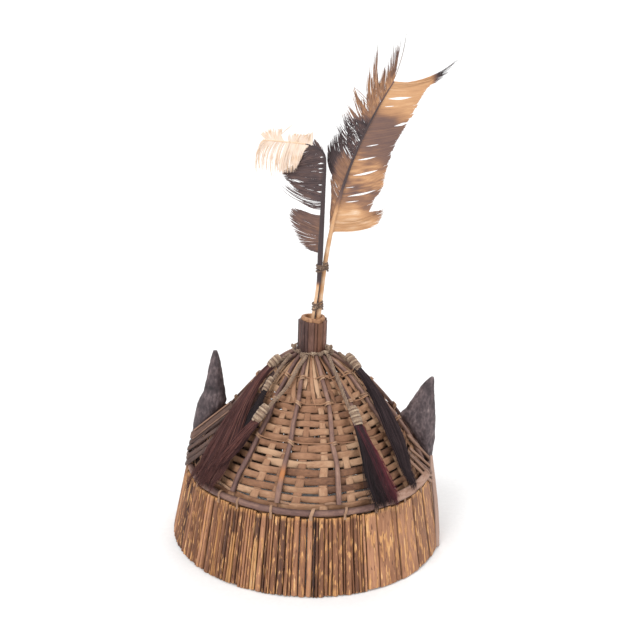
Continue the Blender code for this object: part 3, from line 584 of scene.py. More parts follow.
# Ends of the stitching cane, tucked along the crown's foot: first and last azimuth, height
TUCKED_ENDS = ((-108.5, -98.0, 0.0078), (-82.0, -72.0, 0.0074), (-66.0, -57.0, 0.0080),
               (-139.0, -128.0, 0.0078), (20.0, 32.0, 0.0078), (95.0, 110.0, 0.0080),
               (160.0, 171.0, 0.0078))
stitches = Bundle()
for number in range(STITCH_COUNT):
    azimuth = (SEEN_STITCHES[number] if number < len(SEEN_STITCHES)
               else SEEN_STITCHES[-1] + STITCH_STEP * (number - 4) + chance.normal(0.0, 1.4))
    slant = chance.uniform(-0.8, 1.6)
    turn = np.radians(np.linspace(-20.0, 138.0, 15))
    span = azimuth + slant * (np.linspace(0.0, 1.0, 15) - 0.5)
    out = HOOP_RADIUS + 0.0005
    line = polar(HOOP_REACH + out * np.cos(turn), span, HOOP_LEVEL + out * np.sin(turn))
    facing = polar(np.cos(turn), span, np.sin(turn))
    low = BRIM_TOP - chance.uniform(0.0016, 0.0034)
    line = np.concatenate([[polar(brim_reach(low) + 0.0003, span[0], low)], line])
    facing = np.concatenate([polar(1.0, span[:1], 0.1), facing])
    stitches.strip(line, facing, chance.uniform(0.0019, 0.0027), 0.0008,
                   chance.uniform(0.42, 0.78))
for low, high, level in TUCKED_ENDS:
    azimuth = np.linspace(low, high, 12)
    height = level + 0.0006 * np.sin(np.linspace(0.0, 5.0, 12))
    stitches.strip(on_crown(azimuth, height, 0.0004), off_crown(azimuth, height), 0.0021, 0.0009,
                   chance.uniform(0.5, 0.8))
stitches.piece("hoop_stitches", pale_strip, "cane_strip")

# Ribs
# Round splints with the bark left on, laid down the weave from the tube to the hoop, each a
# little crooked. The one left of the front has a place rubbed bare.
FRONT_RIBS = (-126.5, -103.5, -76.0, -54.0, -32.0)
HIDDEN_RIBS = 10
rib_step = (360.0 + FRONT_RIBS[0] - FRONT_RIBS[-1]) / (HIDDEN_RIBS + 1)
rib_azimuths = list(FRONT_RIBS) + [FRONT_RIBS[-1] + rib_step * (turn + 1)
                                   for turn in range(HIDDEN_RIBS)]
RIB_WIDTH = 0.0045
RIB_THICKNESS = 0.0032
RIB_TAPER = 0.28
RIB_FOOT = 0.0066
RIB_TOP = 0.0985
RUBBED_RIB = 1
RUBBED_AT = 0.0255
RUBBED_LENGTH = 0.0042
SEAT = 0.0003
SPLIT_ROUND = outline((0.8, -1), (1, -0.35), (0.92, 0.3), (0.62, 0.82), (0.2, 1), (-0.2, 0.98),
                      (-0.45, 0.84), (-0.56, 0.86), (-0.85, 0.5), (-1, -0.2), (-0.8, -1))
ribs = Bundle()
for number, rib_azimuth in enumerate(rib_azimuths):
    height = np.linspace(RIB_FOOT, 0.1015 + chance.uniform(0.0, 0.0025), 62)
    share = (height - RIB_FOOT) / (RIB_TOP - RIB_FOOT)
    crooked = np.interp(share, np.linspace(0.0, 1.0, 8), chance.normal(0.0, 0.0007, 8))
    azimuth = rib_azimuth + np.degrees(crooked / crown_radius(height))
    width = RIB_WIDTH * 1.08 * (1.0 - RIB_TAPER * height / CROWN_RISE)
    width = width * uneven(share, 12, 0.9, 1.07)
    rubbed = (number == RUBBED_RIB) * np.exp(-((height - RUBBED_AT) / RUBBED_LENGTH) ** 2)
    ribs.strip(on_crown(azimuth, height, SEAT + RIB_THICKNESS * (0.5 - 0.06 * rubbed)),
               off_crown(azimuth, height), width, RIB_THICKNESS,
               np.clip(chance.normal(0.5, 0.16), 0.1, 0.9), shape=SPLIT_ROUND,
               patch=rubbed * 0.95)
ribs.piece("crown_ribs", dark_bark, "dark_cane",
           *(f"crown_rib_{number:02d}" for number in range(len(rib_azimuths))))

# Binding rings
# Thin canes drawn round over the ribs at three heights, resting on the weave in between. Each
# rib is caught down to them by two turns of pale cane.
RING_SHARES = {"upper": 0.87, "middle": 0.71, "lower": 0.46}
RING_WIDTH = 0.0013
RING_THICKNESS = 0.0008
TIE_WIDTH = 0.0014
TIE_THICKNESS = 0.0006
TIE_STEP = 0.0013
rings, ties = Bundle(), Bundle()
for name, share in RING_SHARES.items():
    azimuth = np.arange(0.0, 360.0, 1.0)
    height = CROWN_RISE * share + 0.0004 * np.sin(np.radians(azimuth * 3.0))
    reach = crown_radius(CROWN_RISE * share)
    nearest = np.min(np.abs((azimuth[:, None] - np.array(rib_azimuths) + 180.0) % 360.0 - 180.0),
                     axis=1)
    off_rib = np.radians(nearest) * reach
    lift = 0.0006 + (RIB_THICKNESS + 0.0003) * np.interp(off_rib, (0.0018, 0.0060), (1.0, 0.0))
    rings.strip(on_crown(azimuth, height, lift - 0.0003), off_crown(azimuth, height), RING_WIDTH,
                RING_THICKNESS, 0.5, endless=True)
    for rib_azimuth in rib_azimuths:
        half = RIB_WIDTH / 2 * (1.0 - RIB_TAPER * share) + 0.0006
        level = CROWN_RISE * share + chance.normal(0.0, 0.0003)
        lean = chance.uniform(-0.0014, 0.0014)
        for above in (-TIE_STEP / 2, TIE_STEP / 2):
            turn = np.radians(np.linspace(-100.0, 100.0, 15))
            azimuth = rib_azimuth + np.degrees(half * np.sin(turn) / reach)
            height = level + lean * np.sin(turn) + above
            lift = 0.0002 + (RIB_THICKNESS + 0.0012) * np.clip(np.cos(turn), -0.1, 1.0)
            facing = (off_crown(azimuth, height) * np.cos(turn)[:, None]
                      + outward(azimuth + 90.0) * np.sin(turn)[:, None])
            ties.strip(on_crown(azimuth, height, lift), facing, TIE_WIDTH, TIE_THICKNESS,
                       chance.uniform(0.55, 0.95))
rings.piece("ring_canes", woven_cane, "dark_cane",
            *(f"binding_ring_{name}" for name in RING_SHARES))
ties.piece("rib_ties", pale_strip, "cane_strip")

# Plume tube
# A thick bamboo tube standing in the crown's neck, its top cut square and worn pale, with the
# feathers' quills jammed in the bore.
TUBE_LOW, TUBE_HIGH = (np.array(corner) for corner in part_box("plume_tube"))
TUBE_RADIUS = TUBE_HIGH[0]
TUBE_BORE = 0.0070
TUBE_MOUTH = TUBE_HIGH[2]
NICK_DEPTH = 0.0003


def block_finish(name, grain, weights, patch_size, stops, rough, depth, relief, gloss):
    """A finish for solid pieces, coloured by weights of their grain and of patches."""
    made = Finish(name)
    lines = made.patches(*grain)
    mix = made.mixture((lines, weights[0]), (made.patches(patch_size), weights[1]))
    return made.done(made.ramp(mix, *stops), rough, lines, depth, relief, gloss=gloss)


cut_bamboo = block_finish(
    "cut bamboo", (0.0016, 5.0, (1.0, 1.0, 0.12)), (0.7, 0.5), 0.006,
    ((0.35, (92, 60, 42)), (0.55, (142, 100, 70)), (0.8, (188, 144, 108))),
    rough=(0.5, 0.75), depth=0.0005, relief=0.7, gloss=0.35)
TUBE_WALL = outline((-1, 1), (-1, -1), (0.94, -1), (0.99, -0.7), (1, -0.2), (1, 0.3),
                    (0.98, 0.8), (0.93, 1))
tube = Bundle()
azimuth = np.arange(0.0, 360.0, 7.5)
nicks = NICK_DEPTH * np.sin(np.radians(azimuth * 2.0 + 40.0))
tube.strip(polar((TUBE_RADIUS + TUBE_BORE) / 2, azimuth, (TUBE_LOW[2] + TUBE_MOUTH) / 2 + nicks),
           outward(azimuth), TUBE_MOUTH - TUBE_LOW[2], TUBE_RADIUS - TUBE_BORE, 0.6,
           shape=TUBE_WALL, endless=True)
tube.piece("bamboo_tube", cut_bamboo, "bamboo", "plume_tube")

# Jacket of canes
# Split canes stood round the tube, bark side out, dark on the left and redder on the right.
# Their feet are splayed a little over the crown and bound there with twine.
CANE_FOOT = BRIM_TOP + CROWN_RISE
CANE_COUNT = 15
CANE_REACH = 0.0114
CANE_OUTSIDE = 0.0119
CANE_THICKNESS = 0.0020
REDDEST_AT = -35.0
canes = Bundle()
cane_edges = np.cumsum(chance.uniform(0.6, 1.5, CANE_COUNT))
cane_edges = np.concatenate([[0.0], cane_edges]) * 360.0 / cane_edges[-1] + 8.0
for low, high in zip(cane_edges, cane_edges[1:]):
    middle = (low + high) / 2
    height = np.linspace(CANE_FOOT + 0.0006, CANE_FOOT + chance.uniform(0.0285, 0.0306), 12)
    up = (height - height[0]) / (height[-1] - height[0])
    splay = 0.0004 * np.clip(1.0 - up * 4.0, 0.0, 1.0) ** 2
    azimuth = middle + chance.normal(0.0, 0.8) * (1.0 - up)
    width = math.radians(high - low) * CANE_OUTSIDE * chance.uniform(0.92, 1.0)
    redder = 0.5 + 0.5 * math.cos(math.radians(middle - REDDEST_AT))
    canes.strip(polar(CANE_REACH + splay + chance.normal(0.0, 0.00018), azimuth, height),
                outward(azimuth), width, CANE_THICKNESS,
                np.clip(-0.02 + 0.30 * redder + chance.normal(0.0, 0.12), -0.1, 1.0),
                shape=HALF_REED, patch=0.55 * max(0.0, redder - 0.45) * chance.uniform(0.1, 1.0))
canes.piece("tube_jacket", dark_bark, "dark_cane", "tube_canes")

# Twine round the neck
# Two-ply bast twine wound twice round the feet of the canes, knotted left and right of the
# front, with one end standing up in a loop.
# The twine gets painted shade on the inner faces of its plies, where they lie against one another.
bast_twine = strip_finish(
    "bast twine", (1.4, 900.0, 5.0), (0.5, 0.6, 0.3), 0.003,
    ((0.4, (70, 52, 44)), (0.6, (112, 90, 75)), (0.8, (148, 124, 104)), (0.95, (184, 162, 138))),
    rough=(0.75, 0.95), depth=0.0004, relief=0.9, gloss=0.2, painted_shade=(52, 38, 32), edges=0.0,
    inside=0.7, sheen=0.2)


def along_line(line, count):
    """A line drawn again with evenly spaced points, smoothed through its corners."""
    line = np.asarray(line, float)
    gone = length_along(line)
    even = np.linspace(0.0, gone[-1], count)
    return np.stack([smooth_curve(gone, column)(even) for column in line.T], -1)


def twist(bundle, line, facing, thickness, pitch, tone, plies=2):
    """Lay plies round a line as a twisted cord."""
    gone = length_along(line)
    even = np.linspace(0.0, gone[-1], max(len(line), int(gone[-1] / pitch * 10)))
    smooth = read_off(even, gone, line)
    flat = read_off(even, gone, np.broadcast_to(facing, line.shape))
    heading = unit(np.gradient(smooth, axis=0))
    across = unit(np.cross(flat, heading))
    over = np.cross(heading, across)
    for ply in range(plies):
        turn = 2 * math.pi * (even / pitch + ply / plies)
        away = across * np.cos(turn)[:, None] + over * np.sin(turn)[:, None]
        bundle.strip(smooth + away * thickness / 4, away, thickness * 0.56, thickness * 0.56,
                     tone + chance.uniform(-0.1, 0.1), shape=ROUND_CANE)


def knot(bundle, centre, size, thickness, tone):
    """A small tight knot: a few turns of twine balled round one another."""
    turn = np.linspace(0.0, 2 * math.pi, 40)
    ball = np.stack([np.sin(turn) + 0.6 * np.sin(2 * turn), np.cos(turn) - 0.6 * np.cos(2 * turn),
                     -0.8 * np.sin(3 * turn)], -1) * size / 3.2
    twist(bundle, np.asarray(centre) + ball, (0.3, 0.2, 0.93), thickness, 0.0034, tone)


NECK_LOW, NECK_HIGH = (np.array(corner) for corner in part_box("neck_cord"))
TWINE_THICKNESS = 0.0018
TWINE_PITCH = 0.0046
# Each knot's azimuth, its rise above the cord's top and its size
NECK_KNOTS = ((-152.0, 0.0052, 0.0042), (-36.0, 0.0054, 0.0058), (-114.0, -0.0012, 0.0052),
              (-86.0, 0.0016, 0.0034), (-66.0, 0.0008, 0.0036), (-48.0, 0.0018, 0.0034),
              (-132.0, 0.0022, 0.0032), (75.0, 0.0024, 0.0034))
LOOP = ((0.0, 0.0, 0.0), (0.0022, -0.001, 0.0034), (0.0054, -0.0018, 0.0040),
        (0.0066, -0.0018, 0.0012), (0.0040, -0.001, -0.0014))
neck_twine = Bundle()
turn = np.linspace(0.0, 560.0, 130)
drop = np.linspace(0.0032, 0.0014, 130) + 0.0005 * np.sin(np.radians(turn * 2.3))
reach = NECK_HIGH[0] + 0.0008 + np.linspace(-0.0003, 0.0010, 130)
twist(neck_twine, polar(reach, turn - 60.0, (NECK_LOW[2] + NECK_HIGH[2]) / 2 + drop),
      (0.0, 0.0, 1.0), TWINE_THICKNESS, TWINE_PITCH, 0.56)
for azimuth, rise, size in NECK_KNOTS:
    knot(neck_twine, polar(NECK_HIGH[0] + 0.0024, azimuth, NECK_HIGH[2] + rise), size,
         TWINE_THICKNESS, chance.uniform(0.5, 0.95))
loop_foot = polar(NECK_HIGH[0] - 0.001, -38.0, NECK_HIGH[2])
twist(neck_twine, along_line(loop_foot + LOOP, 30), (0.0, -1.0, 0.1), 0.0019, TWINE_PITCH, 0.6)
neck_twine.piece("neck_twine", bast_twine, "twine", "neck_cord")

# Feathers
# Two old wing feathers whose quills stand in the tube. A barb is a fine flat strip that leaves
# the shaft aslant; where neighbours have let go of one another the vane is split or torn.
QUILL_RADIUS = 0.0022
DARK_QUILL_RADIUS = 0.0018
QUILL_DEPTH = 0.0380
BANDED_RISE = 0.1950
BANDED_REACH = 0.0400
BANDED_FOOT = np.array((0.004387, 0.000774, TUBE_MOUTH))
DARK_FOOT = BANDED_FOOT - (0.004125, 0.001501, 0.0)
BARB = outline((1, 0), (0, 1), (-1, 0), (0, -1))
BARB_THICKNESS = 0.00022
BARB_LEAN = 0.15
TOWARDS_FRONT = np.array((0.0, -1.0, 0.0))


def banded_shaft(share):
    """Middle of the banded feather's shaft: upright in the tube, then swept to the right."""
    share = np.asarray(share, float)
    above = np.maximum(share, 0.0)
    way = np.stack([0.0140 * above + 0.0396 * above ** 2.65,
                    0.00105 * np.minimum(above * 5.0, 1.0), BANDED_RISE * share], -1)
    return BANDED_FOOT + way


def barb(bundle, root, tip, bow, width, tone, shades, slits=()):
    """A barb from shaft to tip, bowed in the vane's plane and shaded along its length."""
    t = np.linspace(0.0, 1.0, 10)
    reach = tip - root
    sideways = np.array((-reach[2], 0.0, reach[0]))
    line = (root + reach * t[:, None] + sideways * (bow * 4.0 * t * (1.0 - t))[:, None]
            + np.array((0.0, 1.0, 0.0)) * (0.012 * t ** 2 * np.linalg.norm(reach))[:, None])
    for gap_root, near, far, gap in slits:
        away = root[2] - gap_root
        opened = np.clip((t - near) / (far - near), 0.0, 1.0)
        push = math.copysign(gap * math.exp(-abs(away) / 0.0045), away)
        line[:, 2] += push * np.sin(math.pi * opened)
    taper = np.interp(t, (0.0, 0.06, 0.8, 1.0), (0.8, 1.0, 0.9, 0.3))
    bundle.strip(line, TOWARDS_FRONT + (0.0, 0.0, chance.normal(0.0, 0.12)), width * taper,
                 BARB_THICKNESS, np.clip(tone, 0.0, 1.0), shape=BARB, patch=shades(line, t))


def tuft(bundle, shaft_line, roots, tips, count, bow, width, shades, shrink=0.06, slits=()):
    """Barbs from one stretch of shaft to a run of tips, given in millimetres across and up."""
    nearest = [np.argmin(np.hypot(shaft_line[:, 0] - x * MM, shaft_line[:, 2] - z * MM))
               for x, z in roots]
    for number in range(count):
        place = (number + chance.uniform(0.0, 1.0)) / count
        at = int(round(nearest[0] + (nearest[1] - nearest[0]) * place))
        root = shaft_line[at] + (0.0, chance.normal(0.0, 0.0002), 0.0)
        tip = np.insert(read_off(place, np.linspace(0.0, 1.0, len(tips)), tips) * MM, 1, 0.0)
        tip[1] = root[1] + BARB_LEAN * abs(tip[0] - root[0]) + chance.normal(0.0, 0.0004)
        tip = root + (tip - root) * (1.0 - shrink * chance.random() ** 2)
        barb(bundle, root, tip + chance.normal(0.0, 0.0004, 3), bow + chance.normal(0.0, 0.012),
             width * chance.uniform(0.8, 1.2), chance.normal(0.5, 0.15), shades, slits)


def mottle(line, size, seed):
    """Smooth noise from -1 to 1 along a barb."""
    return np.array([noise.noise(Vector((point[0] / size, seed, point[2] / size)))
                     for point in line])


vane = Finish("feather vane")
fibre = vane.fibres(1.2, 420.0)
mix = vane.mixture((vane.mark("patch"), 0.88), (vane.mark("tone"), 0.16), (fibre, 0.14))
colour = vane.ramp(mix, (0.10, (38, 31, 34)), (0.28, (74, 58, 58)), (0.42, (108, 82, 74)),
                   (0.56, (138, 101, 78)), (0.68, (172, 128, 92)), (0.80, (196, 150, 108)),
                   (0.92, (216, 186, 156)), (1.0, (228, 208, 192)))
feather_vane = vane.done(colour, (0.5, 0.75), fibre, 0.0001, relief=0.3, sheen=0.15, gloss=0.35)


def right_shades(line, t):
    """Bands of the right vane from its foot: gold, brown, streaked gold, grey brown, gold."""
    across = t * np.linalg.norm(line[-1] - line[0])
    level = line[:, 2] / MM + 0.30 * across / MM + 2.6 * mottle(line, 0.007, 1.0)
    shade = np.interp(level, (276, 288, 294, 300, 312, 319, 327, 335, 345, 366, 371, 378, 420),
                      (0.74, 0.76, 0.56, 0.44, 0.42, 0.60, 0.64, 0.44, 0.34, 0.34, 0.56, 0.74,
                       0.72))
    pale = np.exp(-((line[:, 0] / MM - 33) / 5) ** 2 - ((line[:, 2] / MM - 287) / 3.2) ** 2)
    streak = mottle(line * (0.25, 1, 1), 0.0022, 5.0) * np.interp(
        level, (290, 310, 330, 345), (0.10, 0.26, 0.26, 0.06))
    edge = np.interp(level, (306, 340, 366), (0.0, -0.06, -0.04)) * t
    tip = -0.75 * np.clip((line[:, 0] / MM - 89) / 5.0, 0.0, 1.0)
    return np.clip(shade + 0.24 * pale + streak + edge + tip, 0.0, 1.0)


def left_shades(line, t):
    """The torn left vane: brown below, nearly black in the middle, tan wisps above."""
    level = line[:, 2] / MM + 2.0 * mottle(line, 0.006, 2.0)
    shade = np.interp(level, (270, 300, 328, 335, 352, 361, 366, 392, 404, 430),
                      (0.62, 0.46, 0.45, 0.20, 0.13, 0.16, 0.50, 0.56, 0.42, 0.30))
    return np.clip(shade + 0.22 * mottle(line, 0.0026, 7.0) - 0.06 * t, 0.0, 1.0)


def black_shades(line, t):
    rooted = np.interp(t, (0.40, 0.55), (0.36, 0.0))
    return np.clip(0.09 + rooted + 0.08 * mottle(line, 0.004, 9.0), 0.0, 1.0)


# Rows of a vane: place up the shaft, barb's reach as a share of BANDED_REACH, and its angle
BANDED_VANE = np.array((
    (0.355, 0.08, 40), (0.375, 1.00, 9), (0.420, 1.08, 13), (0.436, 0.72, 9), (0.480, 0.80, 12),
    (0.530, 0.92, 13), (0.580, 0.88, 15), (0.640, 0.85, 14), (0.700, 0.82, 13), (0.770, 0.85, 12),
    (0.840, 0.87, 10), (0.900, 0.83, 8), (0.950, 0.80, 6), (0.980, 0.80, 4), (0.990, 0.92, 5),
    (1.000, 1.06, 10)))
LEFT_VANE = np.array((
    (0.360, 0.06, 104), (0.404, 0.33, 99), (0.475, 0.41, 108), (0.527, 0.48, 115),
    (0.588, 0.54, 123), (0.629, 0.51, 124), (0.675, 0.44, 120), (0.706, 0.62, 113),
    (0.742, 0.58, 114), (0.783, 0.40, 113), (0.860, 0.40, 106), (0.940, 0.36, 98),
    (1.000, 0.22, 80)))
TORN_FROM = 0.67
LOST_ODDS = 0.30
# Each slit's place up the shaft, its two ends along the barbs, and its opening
VANE_SLITS = ((0.931, 0.08, 0.72, 0.0012), (0.897, 0.10, 0.45, 0.0005),
              (0.731, 0.16, 0.55, 0.0006), (0.676, 0.06, 0.66, 0.0009),
              (0.610, 0.10, 0.80, 0.0011), (0.560, 0.05, 0.30, 0.0006),
              (0.522, 0.10, 0.92, 0.0012), (0.500, 0.10, 0.55, 0.0006),
              (0.802, 0.70, 1.05, 0.0012))
# Each tuft's stretch of shaft, its run of tips, its number of barbs and their bow
BANDED_TUFTS = (
    (((11.3, 270.1), (12.5, 276.3)), ((52.3, 275.5), (49.1, 277.4), (45.1, 279.2)), 14, -0.05),
    (((12.6, 275.5), (14.0, 282.5)), ((46.5, 281.5), (56.4, 289.7), (49.5, 284.7)), 16, -0.10),
    (((54.0, 387.0), (55.8, 391.7)), ((94.0, 398.5), (97.7, 401.6), (102.5, 400.3)), 26, -0.075),
    (((55.5, 390.5), (55.8, 391.7)), ((104.5, 405.0), (109.0, 411.5)), 6, -0.095),
)
LEFT_TUFTS = (
    (((16.4, 309.5), (23.2, 326.6)),
     ((6.8, 329.0), (6.6, 336.0), (7.4, 342.4), (11.9, 348.4), (17.6, 354.5)), 140, 0.10),
    (((24.6, 328.2), (36.2, 356.2)),
     ((18.2, 346.6), (13.8, 356.6), (18.9, 360.5), (20.2, 365.2)), 40, 0.05),
    (((33.6, 346.9), (38.4, 357.8)), ((20.2, 365.2), (21.3, 373.7), (23.8, 371.4)), 26, 0.04),
    (((37.0, 354.7), (41.1, 365.5)), ((25.6, 378.7), (25.9, 388.4), (27.8, 380.3)), 30, 0.04),
    (((41.1, 364.8), (42.5, 368.7)), ((31.8, 379.3), (25.4, 388.4)), 3, -0.05),
    (((40.4, 364.0), (44.6, 371.8)), ((36.3, 387.1), (38.5, 404.5), (40.3, 393.3)), 22, 0.05),
    (((43.9, 370.2), (48.0, 379.6)),
     ((41.0, 394.9), (42.1, 411.9), (43.3, 419.6), (44.5, 396.5)), 22, 0.05),
    (((47.4, 376.5), (51.5, 385.8)), ((48.0, 393.5), (50.1, 405.8), (51.6, 398.2)), 20, 0.04),
    (((50.2, 382.7), (54.4, 389.7)),
     ((51.8, 403.0), (54.2, 412.1), (57.5, 416.8), (60.9, 422.4), (55.1, 403.9)), 30, -0.04),
    (((52.6, 386.7), (54.4, 389.7)), ((54.6, 421.5), (62.4, 427.4), (66.8, 433.0)), 5, -0.03),
    (((43.9, 370.2), (46.0, 375.6)), ((43.2, 418.0), (43.8, 422.0)), 3, 0.03),
    (((53.7, 388.2), (55.9, 391.3)), ((54.6, 400.5), (59.5, 404.5), (55.9, 399.8)), 14, -0.05),
)


def vane_row(table, place):
    """A barb's root, reach and angle at a place up the banded feather's shaft."""
    share, angle = read_off(place, table[:, 0], table[:, 1:])
    return banded_shaft(place), share * BANDED_REACH, angle


def aslant(root, reach, angle):
    """A barb's tip at a reach from its root, at an angle from straight across."""
    angle = math.radians(angle)
    way = np.array((math.cos(angle), BARB_LEAN, math.sin(angle)))
    return root + way / np.linalg.norm(way) * reach


slits = [(float(banded_shaft(place)[2]), near, far, gap) for place, near, far, gap in VANE_SLITS]
banded = Bundle()
shaft_line = banded_shaft(np.linspace(0.0, 1.0, 900))
group_edges = np.cumsum(chance.uniform(0.010, 0.045, 60)) + 0.35
for place in np.linspace(0.358, 1.0, 430):
    root, reach, angle = vane_row(BANDED_VANE, place)
    group = np.searchsorted(group_edges, place)
    middle = (group_edges[group - 1] + group_edges[group]) / 2
    reach = reach * (1.0 + 0.016 * math.sin(group * 2.7) + chance.normal(0.0, 0.008))
    tip = aslant(root, reach, angle)
    tip[2] += (banded_shaft(middle)[2] - root[2]) * 0.05
    bow = np.interp(place, (0.36, 0.60, 0.90, 1.0), (-0.066, -0.045, -0.020, -0.075))
    bow = bow + chance.normal(0.0, 0.003)
    barb(banded, root + (0.0, 0.0002, 0.0), tip, bow, chance.uniform(0.00066, 0.00084),
         chance.normal(0.5, 0.16), right_shades, slits)
for roots, tips, count, bow in BANDED_TUFTS:
    tuft(banded, shaft_line, roots, tips, count, bow, 0.00055, right_shades)
for place in np.linspace(0.362, 0.998, 330):
    root, reach, angle = vane_row(LEFT_VANE, place)
    group = np.searchsorted(group_edges, place)
    loose = 1.0 if place > TORN_FROM else 0.3
    angle = angle + loose * (5.0 * math.sin(group * 4.1) + chance.normal(0.0, 2.0))
    reach = reach * (1.0 + loose * (0.20 * math.sin(group * 1.9) + chance.normal(0.0, 0.08)))
    if place > TORN_FROM and chance.random() < LOST_ODDS:
        continue
    barb(banded, root + (0.0, 0.0002, 0.0), aslant(root, reach, angle),
         0.05 + chance.normal(0.0, 0.02), chance.uniform(0.0005, 0.0007),
         chance.normal(0.5, 0.18), left_shades)
# The lowest tuft of the left vane is the black one
for number, (roots, tips, count, bow) in enumerate(LEFT_TUFTS):
    tuft(banded, shaft_line, roots, tips, count, bow, 0.00050,
         left_shades if number else black_shades, shrink=0.25)
# The shaft: pale horn below, darkening where it carries the vanes
share = np.linspace(-QUILL_DEPTH / BANDED_RISE, 1.0, 130)
radius = QUILL_RADIUS * np.interp(share, (0.0, 0.33, 0.6, 1.0), (1.0, 0.86, 0.52, 0.22))
shade = np.interp(share, (0.0, 0.30, 0.46, 0.52, 0.58, 0.86, 0.93, 1.0),
                  (0.76, 0.78, 0.74, 0.30, 0.10, 0.06, 0.20, 0.30))
shade = shade + 0.05 * np.sin(share * 90.0) * (share < 0.35)
banded.strip(banded_shaft(share) - (0.0, 0.0003, 0.0), TOWARDS_FRONT, 2 * radius, 2 * radius, 0.5,
             shape=ROUND_CANE, patch=shade)
banded.piece("banded_feather_vanes", feather_vane, "banded_feather", "feather_banded")

# Dark feather
# Its quill is pale with a black stripe, then black. Most of the left vane is nearly black, a
# small brown piece hangs below it, and the broken tip hangs over to the left in cream.
DARK_SHAFT = np.array((
    (0.3, 159.3), (0.3, 197.3), (2.6, 215.0), (3.9, 229.4), (4.2, 246.0), (4.4, 260.0),
    (4.7, 278.4), (5.0, 301.6), (5.6, 321.7), (5.4, 330.9), (3.6, 335.6), (-3.1, 339.8),
    (-10.8, 341.4), (-26.4, 342.5), (-41.9, 343.3), (-46.0, 343.4)))
def eased(line, times):
    """A line with its corners rounded off a little, a number of times over."""
    for _ in range(times):
        line[1:-1] = (line[:-2] + 2 * line[1:-1] + line[2:]) / 4
    return line


dark_gone = length_along(DARK_SHAFT)
dark_x, dark_z = eased(read_off(np.linspace(0.0, dark_gone[-1], 700), dark_gone, DARK_SHAFT) * MM,
                       40).T
risen = np.clip((dark_z - TUBE_MOUTH) / 0.146, 0.0, 1.0)
dark_line = np.stack([dark_x, DARK_FOOT[1] - 0.00195 * np.minimum(risen * 4.0, 1.0), dark_z], -1)


def brown_shades(line, t):
    return np.clip(0.36 + 0.12 * mottle(line, 0.004, 3.0) - 0.10 * t, 0.0, 1.0)


def dark_shades(line, t):
    return np.clip(0.14 + 0.09 * mottle(line, 0.005, 4.0) + 0.08 * t, 0.0, 1.0)


def cream_shades(line, t):
    return np.clip(0.97 + 0.08 * mottle(line, 0.004, 6.0) - 0.05 * t, 0.0, 1.0)


# Each tuft's stretch of shaft, run of tips, number of barbs, bow, width, shades and shrinking
DARK_TUFTS = (
    (((4.2, 253.0), (4.4, 283.8)),
     ((-0.6, 253.7), (-6.9, 255.1), (-14.1, 261.1), (-19.8, 273.4), (-22.6, 281.6),
      (-21.5, 288.5), (-15.7, 288.1), (-8.5, 285.2)), 130, 0.05, 0.00074, brown_shades, 0.07),
    (((4.6, 289.2), (4.7, 298.5)),
     ((-11.3, 292.8), (-17.7, 296.6), (-31.4, 306.4), (-26.1, 308.8)), 26, 0.10, 0.00048,
     dark_shades, 0.30),
    (((4.8, 296.5), (5.3, 318.6)),
     ((-16.4, 301.2), (-23.8, 309.6), (-27.1, 312.6), (-29.3, 316.7)), 78, 0.05, 0.00060,
     dark_shades, 0.12),
    (((5.3, 313.5), (5.4, 332.5)), ((-28.9, 315.7), (-29.3, 318.4), (-19.2, 324.3)), 84, 0.0,
     0.00066, dark_shades, 0.06),
    (((5.4, 329.7), (-9.0, 341.4)),
     ((-19.6, 323.6), (-16.9, 325.9), (-15.2, 332.1), (-13.4, 337.9), (-11.5, 339.7)), 80, -0.04,
     0.00064, dark_shades, 0.04),
    (((5.2, 333.5), (-3.4, 340.4)), ((4.2, 337.0), (1.0, 341.0), (-3.0, 345.9), (-6.4, 343.0)),
     26, 0.0, 0.00060, dark_shades, 0.04),
    (((-7.4, 340.5), (-26.3, 341.9)),
     ((-14.8, 331.7), (-15.9, 325.9), (-18.9, 318.9), (-26.6, 317.2), (-32.0, 317.1)), 110, -0.05,
     0.00066, cream_shades, 0.12),
    (((-26.3, 341.9), (-40.3, 343.0)),
     ((-32.0, 317.1), (-35.5, 311.7), (-43.5, 316.2), (-46.8, 320.7)), 34, -0.10, 0.00050,
     cream_shades, 0.40),
    (((-38.5, 343.0), (-45.4, 343.3)),
     ((-46.8, 320.7), (-50.3, 313.7), (-51.6, 323.7), (-49.8, 333.0), (-46.6, 339.3)), 34, -0.14,
     0.00046, cream_shades, 0.40),
    (((-4.9, 340.2), (-24.6, 342.4)), ((-4.9, 351.2), (-9.2, 349.4), (-24.9, 349.7)), 78, 0.04,
     0.00062, cream_shades, 0.20),
    (((-27.9, 342.5), (-42.3, 343.2)),
     ((-33.9, 352.6), (-29.3, 352.9), (-39.3, 353.1), (-44.7, 350.9), (-46.6, 347.8)), 76, 0.04,
     0.00056, cream_shades, 0.20),
    (((-34.1, 342.6), (-34.9, 342.8)), ((-16.5, 359.1), (-19.5, 356.7)), 3, 0.06, 0.00034,
     cream_shades, 0.2),
)
# Heights in millimetres and the dark quill's width there as shares of DARK_QUILL_RADIUS. Near 250
# mm the black quill is drawn wider than the quill itself, so that part of its black is painted
# shadow beside it.
DARK_SHAFT_AND_SHADOW_WIDTHS = ((200, 226, 250, 300, 335, 400), (1.0, 1.0, 1.28, 1.00, 0.56, 0.30))
OVERHANG_FROM = -0.004
CREAM_FROM = -0.010
STRIPE_TOP = 0.262
